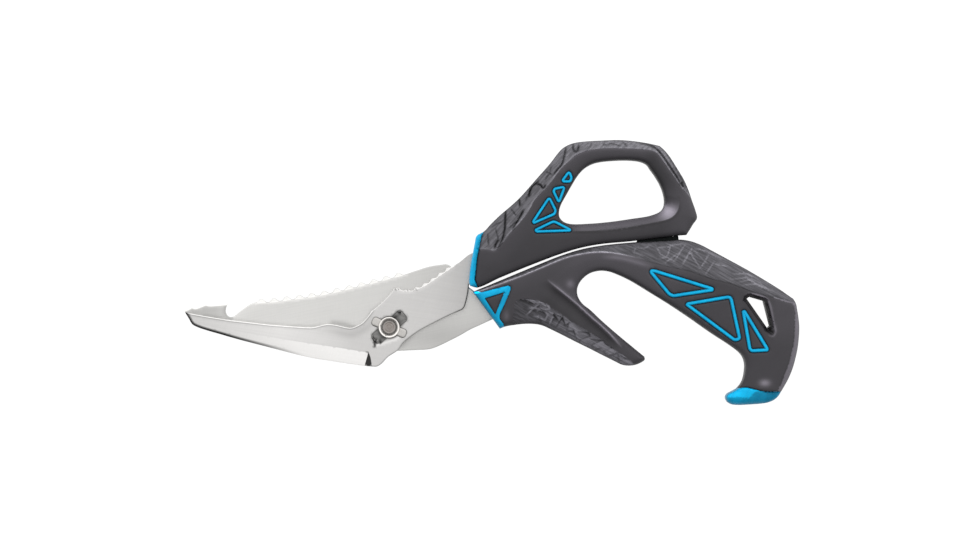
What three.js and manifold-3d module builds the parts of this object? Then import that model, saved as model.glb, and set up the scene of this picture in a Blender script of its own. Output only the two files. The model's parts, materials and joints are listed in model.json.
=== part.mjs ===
// Poultry shears: two steel blades on a take-apart pivot, each in a moulded handle.
// Millimetres, +Z up. They lie flat on the backs of the handles, jaws to -X, thumb loop to +Y.
// Shapes are drawn about the pivot axis; the last lines move the whole to its reference point.
import * as THREE from 'three';
import { mergeVertices } from 'three/addons/utils/BufferGeometryUtils.js';
import Module from 'manifold-3d';

const wasm = await Module();
wasm.setup();

// Overall sizes.
const JAW_LENGTH = 80.3; // pivot axis to the blade tips
const HANDLE_LENGTH = 160; // pivot axis to the back of the tail
const OVERALL_HEIGHT = 103.4; // underside of the hook cap to the top of the thumb loop
const HANDLE_THICKNESS = 18;
const HANDLE_EDGE = 1.5; // rounding of the handles' outer edges

// Blades.
const BLADE_THICKNESS = 2.8;
const BLADE_GAP = 0.1; // between the two blades' flat inner faces
const SCALER_TEETH = 12;
const SCALER_DEPTH = 1.2;
const GRIP_TEETH = 7; // small teeth on the front blade's corner
const GRIP_DEPTH = 0.6;
const GRIND_ANGLE = 12; // degrees, the ground bevel on the front blade's outer face
const GRIND_END = -8.1; // x where the bevel stops in a step

// Pivot stud and the keyhole that releases it.
const STUD_RADIUS = 4.1;
const STUD_HEAD_HEIGHT = 2.4; // above the front blade
const STUD_RIM = 0.45;
const STUD_DISH_DEPTH = 0.9;
const STUD_BOSS_RADIUS = 2.35;
const STUD_BOSS_HEIGHT = 0.5; // out of the dish's floor
const WING_REACH = 7.2;
const WING_HALF_WIDTH = 1.9;
const WING_THICKNESS = 1.4;
const RIVET_RADIUS = 3;
const RIVET_HEAD_RADIUS = 4.2;
const RIVET_HEAD_HEIGHT = 0.8;
const WASHER_RADIUS = 6.5;
const WASHER_THICKNESS = 1.2;
const RELEASE_ANGLE = 115; // degrees open, where wings and keyhole line up
const KEYHOLE_ANGLE = 42; // degrees, of the keyhole's long axis when closed

// Mouldings on the handles.
const UPPER_INLAY_WIDTH = 0.95;
const LOWER_INLAY_WIDTH = 1.35;
const INLAY_DEPTH = 1.2;
const BOLSTER_BAND = 2; // width of the lower bolster along its front edge
const BOLSTER_FRAME_DEPTH = 1.5; // how deep its triangular frames go into each face
const CAP_TONGUE_THICKNESS = 8; // of the tongue that holds the hook cap
const BUMPER_WIDTH = 12;

// Clearances.
const RUNNING_FIT = 0.1; // stud in its bore, wings over the blade
const WING_FIT = 0.5; // keyhole round the wings
const RIVET_FIT = 0.05;
const TANG_FIT = 0.15;
const INLAY_FIT = 0.1;
const MOULD_GAP = 0.3; // parting line between two mouldings

// The grid that the outlines are drawn on. Changing a size above stretches it.
const DRAWN_JAW = 80.3;
const DRAWN_HANDLE = 160;
const DRAWN_HEIGHT = 103.4;
const CURVE_STEPS = 2; // straight pieces in each span of a curve
const EDGE_STEPS = 2;
const ROUND_STEPS = 36;

// Heights that pieces share.
const MATING_PLANE = HANDLE_THICKNESS / 2;
const REAR_FACE = MATING_PLANE - BLADE_GAP / 2;
const REAR_BACK = REAR_FACE - BLADE_THICKNESS;
const FRONT_FACE = MATING_PLANE + BLADE_GAP / 2;
const FRONT_OUTSIDE = FRONT_FACE + BLADE_THICKNESS;

const steel = new THREE.MeshStandardMaterial({ color: 0xd6d8d6, roughness: 0.25, metalness: 1 });
const stainless = new THREE.MeshStandardMaterial({ color: 0xa89f9a, roughness: 0.3, metalness: 1 });
const nylon = new THREE.MeshStandardMaterial({ color: 0x47464a, roughness: 0.5, metalness: 0 });
const softGrip = new THREE.MeshStandardMaterial({ color: 0x626265, roughness: 0.8, metalness: 0 });
const blue = new THREE.MeshStandardMaterial({ color: 0x14a9dc, roughness: 0.4, metalness: 0 });
const blackRubber = new THREE.MeshStandardMaterial({ color: 0x1c221d, roughness: 0.9, metalness: 0 });

// Outlines: lists of Vector2, drawn on the grid and stretched to size.
const stretchX = (x) => x * (x < 0 ? JAW_LENGTH / DRAWN_JAW : HANDLE_LENGTH / DRAWN_HANDLE);
const stretchY = (y) => y * (OVERALL_HEIGHT / DRAWN_HEIGHT);
const place = ([x, y]) => new THREE.Vector2(stretchX(x), stretchY(y));

function splineThrough(points, isClosed) {
  const knots = points.map(({ x, y }) => new THREE.Vector3(x, y, 0));
  const spline = new THREE.CatmullRomCurve3(knots, isClosed, 'centripetal');
  const spans = isClosed ? points.length : points.length - 1;
  return spline.getPoints(spans * CURVE_STEPS).map(({ x, y }) => new THREE.Vector2(x, y));
}

const line = (...drawn) => drawn.map(place);
const curve = (...drawn) => splineThrough(drawn.map(place), false);
const ring = (...drawn) => splineThrough(drawn.map(place), true).slice(0, -1);

// Joins runs of points end to end into one closed outline; a shared end point is kept once.
const joined = (...runs) =>
  runs.flat().filter((point, i, all) => point.distanceTo(all[(i + 1) % all.length]) > 1e-3);

// Moves every side of a closed anticlockwise outline outwards by a distance.
function grown(points, distance) {
  return points.map((point, i) => {
    const before = points[(i + points.length - 1) % points.length];
    const after = points[(i + 1) % points.length];
    const a = point.clone().sub(before).normalize();
    const b = after.clone().sub(point).normalize();
    const out = new THREE.Vector2(a.y + b.y, -a.x - b.x);
    return point.clone().addScaledVector(out, distance / (1 + a.dot(b)));
  });
}

// Leaves out the points whose side would turn round if a closed outline moved inwards by a distance.
function eased(points, distance) {
  const inner = grown(points, -distance);
  const kept = points.filter((point, i) => {
    const next = (i + 1) % points.length;
    const side = points[next].clone().sub(point);
    return inner[next].clone().sub(inner[i]).dot(side) > 0;
  });
  return kept.length === points.length ? points : eased(kept, distance);
}

// A convex anticlockwise outline moved inwards by a distance: what is left inside all its sides.
function shrunk(points, distance) {
  return points.reduce((left, corner, i) => {
    const along = points[(i + 1) % points.length].clone().sub(corner).normalize();
    const depth = (point) => along.cross(point.clone().sub(corner)) - distance;
    return left.flatMap((point, j) => {
      const next = left[(j + 1) % left.length];
      const [a, b] = [depth(point), depth(next)];
      const kept = a >= 0 ? [point] : [];
      return a * b < 0 ? [...kept, point.clone().lerp(next, a / (a - b))] : kept;
    });
  }, points);
}

// Puts teeth on a run: smooth bumps that stand out to the left of its direction.
function toothed(run, teeth, depth) {
  const STEPS_PER_TOOTH = 6;
  const path = new THREE.CatmullRomCurve3(run.map(({ x, y }) => new THREE.Vector3(x, y, 0)));
  const points = [];
  for (let i = 0; i <= teeth * STEPS_PER_TOOTH; i += 1) {
    const along = i / (teeth * STEPS_PER_TOOTH);
    const at = path.getPointAt(along);
    const heading = path.getTangentAt(along);
    const height = depth * ((1 - Math.cos(2 * Math.PI * teeth * along)) / 2) ** 1.5;
    points.push(new THREE.Vector2(at.x - heading.y * height, at.y + heading.x * height));
  }
  return points;
}

function circle(radius, turn = 0) {
  return Array.from({ length: ROUND_STEPS }, (_, i) => {
    const angle = turn + (2 * Math.PI * i) / ROUND_STEPS;
    return new THREE.Vector2(radius * Math.cos(angle), radius * Math.sin(angle));
  });
}

// A bar through the pivot axis with cut corners, turned to an angle in degrees.
function bar(reach, halfWidth, degrees) {
  const cut = halfWidth * 0.35;
  const corners = [
    [reach, -halfWidth + cut], [reach, halfWidth - cut], [reach - cut, halfWidth],
    [cut - reach, halfWidth], [-reach, halfWidth - cut], [-reach, cut - halfWidth],
    [cut - reach, -halfWidth], [reach - cut, -halfWidth],
  ];
  const centre = new THREE.Vector2();
  const turn = THREE.MathUtils.degToRad(degrees);
  return corners.map(([x, y]) => new THREE.Vector2(x, y).rotateAround(centre, turn));
}

// Solids.
function solid(geometry) {
  geometry.deleteAttribute('normal');
  geometry.deleteAttribute('uv');
  const merged = mergeVertices(geometry, 1e-4);
  return new wasm.Manifold(new wasm.Mesh({
    numProp: 3,
    vertProperties: new Float32Array(merged.attributes.position.array),
    triVerts: new Uint32Array(merged.index.array),
  }));
}

function prism(points, low, high, { holes = [], edge = 0 } = {}) {
  const shape = new THREE.Shape(edge > 0 ? eased(points, edge) : points);
  shape.holes = holes.map((hole) => new THREE.Path(hole));
  const geometry = new THREE.ExtrudeGeometry(shape, {
    depth: high - low - 2 * edge,
    bevelEnabled: edge > 0,
    bevelThickness: edge,
    bevelSize: edge,
    bevelOffset: -edge,
    bevelSegments: EDGE_STEPS,
  });
  geometry.translate(0, 0, low + edge);
  return solid(geometry);
}

const turned = (profile) =>
  solid(new THREE.LatheGeometry(profile.map(([r, z]) => new THREE.Vector2(r, z)), ROUND_STEPS)
    .rotateX(Math.PI / 2));

function mesh(name, body, material) {
  const { vertProperties, triVerts, numProp } = body.getMesh();
  const positions = new Float32Array((vertProperties.length / numProp) * 3);
  for (let i = 0; i < positions.length; i += 1) {
    positions[i] = vertProperties[Math.floor(i / 3) * numProp + (i % 3)];
  }
  const geometry = new THREE.BufferGeometry();
  geometry.setAttribute('position', new THREE.BufferAttribute(positions, 3));
  geometry.setIndex(new THREE.BufferAttribute(new Uint32Array(triVerts), 1));
  geometry.computeVertexNormals();
  const made = new THREE.Mesh(geometry, material);
  made.name = name;
  return made;
}

const FAR = 400; // reaches past every piece
const throughHandle = (points, holes = []) => prism(points, -1, HANDLE_THICKNESS + 1, { holes });

// The side of an open run of points that lies to its left, as a slab through the handle.
// Its ends go on straight, and the gap moves it away from the run.
function leftOf(run, gap) {
  const last = run.length - 1;
  const start = run[0].clone().sub(run[1]).setLength(FAR).add(run[0]);
  const end = run[last].clone().sub(run[last - 1]).setLength(FAR).add(run[last]);
  const across = end.clone().sub(start).rotateAround(new THREE.Vector2(), Math.PI / 2).setLength(FAR);
  const side = [start, ...run, end, end.clone().add(across), start.clone().add(across)];
  return throughHandle(grown(side, -gap));
}

// Tangs. Each is the part of a blade that its handle is moulded round.
const rearTangTop = line([33, 13.2], [35, 12], [45, 14.5], [60, 20.5], [75, 26.2], [88, 27.2], [106, 24.2]);
const rearTangUnder = line([106, 20.2], [88, 23.9], [76, 22.8], [62, 14], [50, 7.5], [39.4, 2.7]);
const frontTangUnder = line([31.2, 16.6], [33, 18], [37, 19.7], [45, 23.5], [56, 28], [68, 32.8], [80, 35],
  [95, 36.4], [104, 37.4]);
const frontTangTop = line([104, 40.4], [95, 39.6], [80, 38.2], [68, 37], [56, 32.5], [45, 28.8], [37, 28],
  [32.4, 29]);
const bladeNeck = (x, y) => [new THREE.Vector2(stretchX(x), stretchY(y))];
const rearPocket = prism(
  grown(joined(bladeNeck(28, 4), rearTangUnder.toReversed(), rearTangTop.toReversed()), TANG_FIT),
  REAR_BACK - TANG_FIT, REAR_FACE + TANG_FIT);
const frontPocket = prism(
  grown(joined(bladeNeck(28, 24), frontTangUnder, frontTangTop), TANG_FIT),
  FRONT_FACE - TANG_FIT, FRONT_OUTSIDE + TANG_FIT);

// Rear blade: the upper jaw, with the line notch near its tip and the scaler along its back.
function makeRearBlade() {
  const tip = line([-80.3, 6.8], [-76.5, 8.3]);
  const tipBack = curve([-76.5, 8.3], [-72.5, 9.2], [-63.2, 9.5]);
  const notch = curve([-63.2, 9.5], [-64, 6.5], [-63, 4.2], [-61.3, 4.1], [-58.4, 6.2], [-54.5, 8.9],
    [-52.5, 9.7]);
  const scaler = toothed(line([-52.5, 9.7], [-46.6, 9.9], [-38.8, 10.9], [-31, 11.9], [-21.2, 13.8],
    [-7.5, 17.1], [6, 20.6]), SCALER_TEETH, SCALER_DEPTH);
  const shoulder = curve([6, 20.6], [15.9, 23.8], [22.6, 24.6], [25.5, 22.6], [28.5, 18.4], [30.9, 15.2],
    [33, 13.2]);
  const neck = curve([39.4, 2.7], [31.6, -0.9], [19.8, -7.1], [12, -9], [1.8, -9.3]);
  const cuttingEdge = curve([1.8, -9.3], [-8, -7.6], [-15, -4], [-30, -2.2], [-46, -1], [-62, 0.9],
    [-79.2, 4.6]);
  // Drawn clockwise, so it is turned round.
  const rim = joined(tip, tipBack, notch, scaler, shoulder, rearTangTop, rearTangUnder, neck, cuttingEdge)
    .toReversed();
  return prism(rim, REAR_BACK, REAR_FACE, { holes: [circle(RIVET_RADIUS + RIVET_FIT)] });
}

// Front blade: the lower jaw, with the keyhole, the small teeth at its corner and the ground bevel.
function makeFrontBlade() {
  const cuttingEdge = curve([-79.8, 5.9], [-62.3, 2.9], [-46.6, 1.1], [-33, 0.1], [-24.4, 1.3], [-15, -0.1],
    [-10.3, 2.1], [-6.8, 6.4]);
  const riser = line([-6.8, 6.4], [1.8, 15.2]);
  const gripLine = curve([1.8, 15.2], [8.1, 14.2], [14, 16.5], [24.5, 23.6]);
  const gripTeeth = toothed(gripLine, GRIP_TEETH, GRIP_DEPTH);
  const shoulder = line([24.5, 23.6], [32.4, 29]);
  const neck = curve([31.2, 16.6], [30.6, 12.6], [29.4, 8.4], [26.5, 6.1], [19.8, 3], [8.1, -3.8],
    [3.4, -8.9], [-3, -14.2], [-6.8, -15.3]);
  const back = curve([-6.8, -15.3], [-27.1, -12.6], [-46.6, -7.9], [-76, 0.9], [-79.8, 5.9]);
  const rim = joined(cuttingEdge, riser, gripTeeth, shoulder, frontTangTop.toReversed(),
    frontTangUnder.toReversed(), neck, back).toReversed();
  const boreAndLobes = prism(circle(STUD_RADIUS + RUNNING_FIT), FRONT_FACE - 1, FRONT_OUTSIDE + 1)
    .add(prism(bar(WING_REACH + WING_FIT, WING_HALF_WIDTH + WING_FIT, KEYHOLE_ANGLE),
      FRONT_FACE - 1, FRONT_OUTSIDE + 1));
  return prism(rim, FRONT_FACE, FRONT_OUTSIDE).subtract(boreAndLobes).subtract(makeGrindCutter());
}

// What the grinding wheel takes away: all above a plane that falls from a line on the outer face.
function makeGrindCutter() {
  const start = place([-42, -4.4]);
  const end = place([GRIND_END, -9.7]);
  const along = end.clone().sub(start);
  const cutter = new THREE.BoxGeometry(FAR, FAR, FAR).translate(-FAR / 2, -FAR / 2, FAR / 2);
  cutter.rotateX(THREE.MathUtils.degToRad(GRIND_ANGLE));
  cutter.rotateZ(along.angle());
  cutter.translate(end.x, end.y, FRONT_OUTSIDE);
  return solid(cutter);
}

// Pivot stud: riveted into the rear blade, with two wings over the front one.
function makeStud() {
  const headTop = FRONT_OUTSIDE + STUD_HEAD_HEIGHT;
  const dishFloor = headTop - STUD_DISH_DEPTH;
  const washerBack = REAR_BACK - WASHER_THICKNESS;
  const shaft = turned([
    [0, washerBack - RIVET_HEAD_HEIGHT],
    [RIVET_HEAD_RADIUS * 0.7, washerBack - RIVET_HEAD_HEIGHT],
    [RIVET_HEAD_RADIUS, washerBack],
    [RIVET_RADIUS, washerBack],
    [RIVET_RADIUS, REAR_FACE],
    [STUD_RADIUS, REAR_FACE],
    [STUD_RADIUS, headTop],
    [STUD_RADIUS - STUD_RIM, headTop],
    [STUD_RADIUS - STUD_RIM, dishFloor],
    [STUD_BOSS_RADIUS, dishFloor],
    [STUD_BOSS_RADIUS, dishFloor + STUD_BOSS_HEIGHT],
    [0, dishFloor + STUD_BOSS_HEIGHT],
  ]);
  const wingFoot = FRONT_OUTSIDE + RUNNING_FIT;
  const wings = prism(bar(WING_REACH, WING_HALF_WIDTH, KEYHOLE_ANGLE + RELEASE_ANGLE),
    wingFoot, wingFoot + WING_THICKNESS);
  const dish = prism(circle(STUD_RADIUS - STUD_RIM), dishFloor, headTop + 1);
  return shaft.add(wings.subtract(dish));
}

function makeBackWasher() {
  return prism(circle(WASHER_RADIUS), REAR_BACK - WASHER_THICKNESS, REAR_BACK,
    { holes: [circle(RIVET_RADIUS + RIVET_FIT)] });
}

// Upper handle, with the thumb loop. Its silhouette is shared by all that is moulded on it.
const upperHandle = (() => {
  const front = curve([33.9, 35.6], [31.5, 22.5], [31.6, 16]);
  const under = curve([31.6, 16], [34.3, 15.5], [43.3, 19.5], [58.9, 25.8], [66.7, 28.7], [74.6, 31.1],
    [82.4, 32.6], [94.9, 33.8], [109.8, 35.6], [116, 36.1]);
  const heel = curve([116, 36.1], [118.6, 40.1], [120.2, 43.2], [118, 50], [115, 57.6], [109.1, 67.1],
    [105.5, 70.8]);
  const top = curve([105.5, 70.8], [99, 72.1], [89, 73.1], [80, 72.8], [73, 72.1], [67.4, 69.6],
    [63.1, 64.3], [50.4, 50], [43, 43.5], [36.3, 36.7]);
  const thumbLoop = ring([78.5, 40.5], [70.4, 40.4], [67.2, 42], [66.4, 45.6], [68.7, 50.9], [73, 58.3],
    [76.5, 62.2], [82.4, 64.6], [90, 65.2], [98, 64.7], [101.9, 61.7], [105.8, 55.6], [107.5, 49],
    [105.8, 45.3], [101.9, 43.6], [90.2, 41.8]);
  return prism(joined(front, under, heel, top), 0, HANDLE_THICKNESS,
    { holes: [thumbLoop], edge: HANDLE_EDGE }).subtract(frontPocket);
})();
const upperBolsterLine = line([36.4, 37], [36.1, 35.2], [34.4, 27.4], [33.5, 18.7], [34.5, 15]);
const upperCrease = curve([34.8, 30.6], [41.1, 30.2], [50, 39.6], [56, 49.2], [61.7, 54.8], [66.5, 61.3],
  [70.9, 65.4], [76.5, 68.7], [86.3, 69.6], [98, 69.3], [103.5, 68], [107.5, 63.8], [113, 55.6],
  [118.5, 49]);

// Lower handle, with the finger space between its prong and the hook at the tail.
const lowerHandle = (() => {
  const front = line([33.2, 13.5], [43.2, -0.5]);
  const prongUnder = curve([43.2, -0.5], [50, 1.2], [57, 1.3], [62.8, -0.6], [72.6, -5.5], [82.4, -10.4],
    [90.7, -14.5], [95.5, -14.8], [99.5, -13.2], [99.6, -11.4]);
  const fingerSpace = curve([99.6, -11.4], [88, -1.9], [78, 7.1], [74, 11.5], [73.6, 16], [76.5, 20],
    [82.4, 22.2], [89.7, 20.4], [101.9, 13.6], [118, 3.2], [129.3, -4.6], [136, -9.2], [138.8, -14],
    [138, -20.6], [135.7, -24]);
  const hook = curve([135.7, -24], [132, -26], [131.5, -28.3], [134, -30.1], [140, -30.3], [147.8, -29.3],
    [151.2, -27.3], [153.2, -24.5], [157.4, -16], [159.5, -7.1], [160, 0], [159.2, 6.8], [157.9, 11]);
  const top = curve([157.9, 11], [152.8, 14.5], [141, 21.7], [129.3, 28.1], [121.5, 32.2], [115.5, 34.3],
    [109.8, 34], [94.9, 33.1], [82.4, 31.8], [74.6, 30.4], [66.7, 28], [58.9, 24.9], [43.3, 18.3],
    [33.2, 13.5]);
  const lanyardHole = line([139.3, 11.3], [140.2, 12], [146.4, 10.1], [148.7, 0.4], [147.4, -0.6]);
  return prism(joined(front, prongUnder, fingerSpace, hook, top), 0, HANDLE_THICKNESS,
    { holes: [lanyardHole], edge: HANDLE_EDGE }).subtract(rearPocket);
})();
const bandNormal = place([43.2, -0.5]).sub(place([33.2, 13.5]))
  .rotateAround(new THREE.Vector2(), Math.PI / 2).setLength(BOLSTER_BAND);
const bandLine = [place([43.2, -0.5]).add(bandNormal), place([33.2, 13.5]).add(bandNormal)];
const bolsterFrame = line([33.2, 13.5], [43.2, -0.5], [45, 0.3], [42.6, 3.8], [47.3, 15.9],
  [45.8, 16.3], [36, 13.4]);
const bolsterWindow = line([37, 11], [41.4, 5.8], [44.6, 13.4]);
const lowerCrease = curve([33.4, 13.4], [43.3, 16.9], [58.9, 23], [66, 26.2], [73.6, 28.3], [82.4, 29.3],
  [90.2, 28.5], [101.9, 25.4], [113.7, 22.4], [125.4, 18.9], [137.1, 15.3], [148.9, 12.4], [158.5, 9.5]);
const guardCrease = curve([48, -3], [49.3, 10.8], [57, 10.6], [63.2, 7.7], [73.6, 0.9], [82.4, -4.5],
  [94.1, -12.6], [99, -17]);
const capLine = line([130, -23.2], [138, -23.4], [146.4, -24.9], [156, -25.6]);

// A moulding takes its side of a line; its neighbour keeps the other side, a gap away.
const sideOf = (run) => leftOf(run, MOULD_GAP / 2);
const otherSideOf = (run) => leftOf(run.toReversed(), MOULD_GAP / 2);

// The lower bolster: a band through the handle's front, and a triangular frame in each face.
function bolsterZone(gap) {
  const frame = grown(bolsterFrame, gap);
  const holes = [shrunk(bolsterWindow, gap)];
  return throughHandle(frame).intersect(leftOf(bandLine, -gap))
    .add(prism(frame, -1, BOLSTER_FRAME_DEPTH + gap, { holes }))
    .add(prism(frame, HANDLE_THICKNESS - BOLSTER_FRAME_DEPTH - gap, HANDLE_THICKNESS + 1, { holes }));
}

// The hook cap's tongue stands on the handle's body and runs into the cap.
const tongue = (gap) => prism(
  grown(line([140, -22], [140, -27.5], [148, -26.8], [148, -22]), gap),
  (HANDLE_THICKNESS - CAP_TONGUE_THICKNESS) / 2 - gap, (HANDLE_THICKNESS + CAP_TONGUE_THICKNESS) / 2 + gap);

// The strip between the closed handles, sunk in the top of the lower one.
const bumperOutline = (gap) => grown(line([96.5, 32.4], [113, 33.3], [113, 35.45], [96.5, 33.85]), gap);
const bumperSpan = (gap) => [
  (HANDLE_THICKNESS - BUMPER_WIDTH) / 2 - gap,
  (HANDLE_THICKNESS + BUMPER_WIDTH) / 2 + gap,
];

const inlaysOn = (prefix, width, outlines) =>
  outlines.map((outline, i) => ({ name: `${prefix}_${i + 1}`, width, outline }));
const upperInlays = inlaysOn('upper_inlay', UPPER_INLAY_WIDTH, [
  line([66.7, 56.4], [70.5, 56.5], [71.4, 58.2], [70.2, 61.4]),
  line([65.5, 49.1], [66.4, 49.3], [68.8, 54.5], [68.5, 55.3], [64.2, 54.4], [63.6, 52.8]),
  line([56.5, 40.2], [64.8, 43.9], [65.5, 45.6], [62.3, 51.3], [55.7, 41.2]),
  line([57.2, 36.9], [71.7, 37.4], [72, 38.4], [63.9, 41.8], [56.4, 38.2]),
]);
const lowerInlays = inlaysOn('lower_inlay', LOWER_INLAY_WIDTH, [
  line([101.7, 21.1], [108.9, 12.5], [110.6, 11.7], [126.3, 14.1], [126.7, 15.6], [103.7, 22.4],
    [102, 22.4]),
  line([115.6, 8.8], [134.2, -4.9], [136.2, -5.6], [137.3, -4.4], [133.8, 11.7], [132.5, 12.6],
    [116.6, 9.7]),
  line([137.8, 6], [140.3, -8.4], [141.4, -9.6], [147.7, -9.3], [148, -7.6], [139.2, 6.4]),
]);

// An inlay's ring, or with a gap the groove that it sits in, in the front or the back face.
function inlayRing({ outline, width }, isFront, gap) {
  const depth = INLAY_DEPTH + gap;
  const low = isFront ? HANDLE_THICKNESS - depth : -gap;
  const holes = [shrunk(outline, width + gap)];
  return prism(grown(outline, gap), low, low + depth + gap, { holes });
}
const grooves = (inlays) => wasm.Manifold.union(
  inlays.flatMap((inlay) => [true, false].map((isFront) => inlayRing(inlay, isFront, INLAY_FIT))));

const shears = new THREE.Group();
const rearHalf = new THREE.Group();
const frontHalf = new THREE.Group();
shears.add(rearHalf, frontHalf);

const aboveUpperCrease = sideOf(upperCrease);
const upperBody = upperHandle.intersect(otherSideOf(upperBolsterLine.toReversed()));
frontHalf.add(
  mesh('front_blade', makeFrontBlade(), steel),
  mesh('upper_handle', upperBody.intersect(otherSideOf(upperCrease)).subtract(grooves(upperInlays)), nylon),
  mesh('upper_grip', upperBody.intersect(aboveUpperCrease), softGrip),
  mesh('upper_bolster', upperHandle.intersect(sideOf(upperBolsterLine.toReversed())), blue),
);

const bumperSeat = prism(bumperOutline(MOULD_GAP), ...bumperSpan(MOULD_GAP));
const lowerBody = lowerHandle.subtract(bolsterZone(MOULD_GAP)).subtract(bumperSeat);
const lowerCore = lowerBody.intersect(otherSideOf(lowerCrease));
const aboveCap = otherSideOf(capLine.toReversed());
rearHalf.add(
  mesh('rear_blade', makeRearBlade(), steel),
  mesh('pivot_stud', makeStud(), stainless),
  mesh('pivot_back_washer', makeBackWasher(), stainless),
  mesh('lower_handle', lowerCore.intersect(otherSideOf(guardCrease.toReversed())).intersect(aboveCap)
    .add(tongue(0)).subtract(grooves(lowerInlays)), nylon),
  mesh('lower_top_grip', lowerBody.intersect(sideOf(lowerCrease)), softGrip),
  mesh('finger_guard_grip', lowerCore.intersect(sideOf(guardCrease.toReversed())), softGrip),
  mesh('lower_bolster', lowerHandle.intersect(bolsterZone(0)), blue),
  mesh('hook_cap', lowerCore.intersect(sideOf(capLine.toReversed())).subtract(tongue(MOULD_GAP)), blue),
  mesh('handle_stop_bumper', prism(bumperOutline(0), ...bumperSpan(0)), blackRubber),
);

const inlaidHandles = [[frontHalf, upperHandle, upperInlays], [rearHalf, lowerHandle, lowerInlays]];
for (const [half, handle, inlays] of inlaidHandles) {
  for (const inlay of inlays) {
    for (const isFront of [true, false]) {
      const name = `${inlay.name}_${isFront ? 'front' : 'back'}`;
      half.add(mesh(name, inlayRing(inlay, isFront, 0).intersect(handle), blue));
    }
  }
}

// The reference point: the middle of the space that the shears take up, on the table under them.
const space = new THREE.Box3().setFromObject(shears);
const middle = space.getCenter(new THREE.Vector3());
shears.position.set(-middle.x, -middle.y, -space.min.z);

export default shears;
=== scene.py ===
# Poultry shears, lying flat: two steel blades on a take-apart stud, each in a moulded two-part handle.
# Outlines are in millimetres about the pivot axis, with the jaws to -X and the thumb loop to +Y.
# Heights are in millimetres above the table.
import json
import math

import bpy
import numpy as np
from mathutils.geometry import delaunay_2d_cdt
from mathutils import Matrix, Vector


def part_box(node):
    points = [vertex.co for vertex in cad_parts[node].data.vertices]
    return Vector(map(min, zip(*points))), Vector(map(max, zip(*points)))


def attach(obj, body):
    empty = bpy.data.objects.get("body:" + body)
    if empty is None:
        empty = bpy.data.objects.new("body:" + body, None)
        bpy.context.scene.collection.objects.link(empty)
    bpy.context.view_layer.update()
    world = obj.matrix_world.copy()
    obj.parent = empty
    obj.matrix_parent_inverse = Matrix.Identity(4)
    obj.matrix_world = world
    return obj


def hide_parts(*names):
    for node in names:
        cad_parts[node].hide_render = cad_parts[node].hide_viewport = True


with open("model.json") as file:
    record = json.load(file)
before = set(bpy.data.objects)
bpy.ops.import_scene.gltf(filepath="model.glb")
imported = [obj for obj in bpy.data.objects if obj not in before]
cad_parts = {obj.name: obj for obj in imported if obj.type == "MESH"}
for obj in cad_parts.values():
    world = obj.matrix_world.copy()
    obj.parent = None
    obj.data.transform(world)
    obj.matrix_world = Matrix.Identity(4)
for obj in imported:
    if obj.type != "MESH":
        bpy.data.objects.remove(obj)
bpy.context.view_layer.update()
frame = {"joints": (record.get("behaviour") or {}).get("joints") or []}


# ---------------------------------------------------------------------------------------------------------
# Rear blade: the upper jaw, blanked from 2.8 mm stainless plate and ground along its back into a row of
# scaler teeth, with a notch for cutting line near the tip. Its tang is moulded into the lower handle.
MM = 0.001
PIVOT = [value / MM for value in frame["joints"][0]["pos_m"][:2]]


def heights(node):
    """The lowest and the highest level of a CAD node, in millimetres."""
    low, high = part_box(node)
    return low.z / MM, high.z / MM


def line(*points, step=1.0):
    """Straight runs from point to point, with a point at every step."""
    knots = np.array(points, float)
    run = []
    for a, b in zip(knots[:-1], knots[1:]):
        count = max(1, round(np.linalg.norm(b - a) / step))
        run += [a + (b - a) * i / count for i in range(count)]
    return np.array(run + [knots[-1]])


def curve(*points, closed=False, step=0.7):
    """A centripetal Catmull-Rom curve through the points, with a point at about every step."""
    knots = np.array(points, float)
    if closed:
        ends = np.vstack([knots[-1], knots, knots[:2]])
    else:
        ends = np.vstack([2 * knots[0] - knots[1], knots, 2 * knots[-1] - knots[-2]])
    run = []
    for p0, p1, p2, p3 in zip(ends[:-3], ends[1:-2], ends[2:-1], ends[3:]):
        t1 = np.linalg.norm(p1 - p0) ** 0.5
        t2 = t1 + np.linalg.norm(p2 - p1) ** 0.5
        t3 = t2 + np.linalg.norm(p3 - p2) ** 0.5
        count = max(2, math.ceil(np.linalg.norm(p2 - p1) / step))
        for t in t1 + (t2 - t1) * np.arange(count) / count:
            a1 = ((t1 - t) * p0 + t * p1) / t1
            a2 = ((t2 - t) * p1 + (t - t1) * p2) / (t2 - t1)
            a3 = ((t3 - t) * p2 + (t - t2) * p3) / (t3 - t2)
            b1 = ((t2 - t) * a1 + t * a2) / t2
            b2 = ((t3 - t) * a2 + (t - t1) * a3) / (t3 - t1)
            run.append(((t2 - t) * b1 + (t - t1) * b2) / (t2 - t1))
    return np.array(run if closed else run + [knots[-1]])


def joined(*runs):
    """Runs end to end as one closed outline, anticlockwise; a shared end is kept once."""
    points = np.vstack(runs)
    keep = np.linalg.norm(points - np.roll(points, -1, 0), axis=1) > 0.02
    points = points[keep]
    x, y = points.T
    area = np.sum(x * np.roll(y, -1) - np.roll(x, -1) * y)
    return points if area > 0 else points[::-1]


def circle(radius, steps=64):
    """A closed run round the pivot axis."""
    turns = 2 * math.pi * np.arange(steps) / steps
    return radius * np.column_stack([np.cos(turns), np.sin(turns)])


def headings(run, closed):
    """The unit direction of a run at each of its points."""
    if closed:
        ahead = np.roll(run, -1, 0) - np.roll(run, 1, 0)
    else:
        ahead = np.gradient(run, axis=0)
    return ahead / np.maximum(np.linalg.norm(ahead, axis=1), 1e-9)[:, None]


def shifted(run, distance, closed=False):
    """A run moved sideways, to its left."""
    x, y = headings(run, closed).T
    return run + distance * np.column_stack([-y, x])


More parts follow.
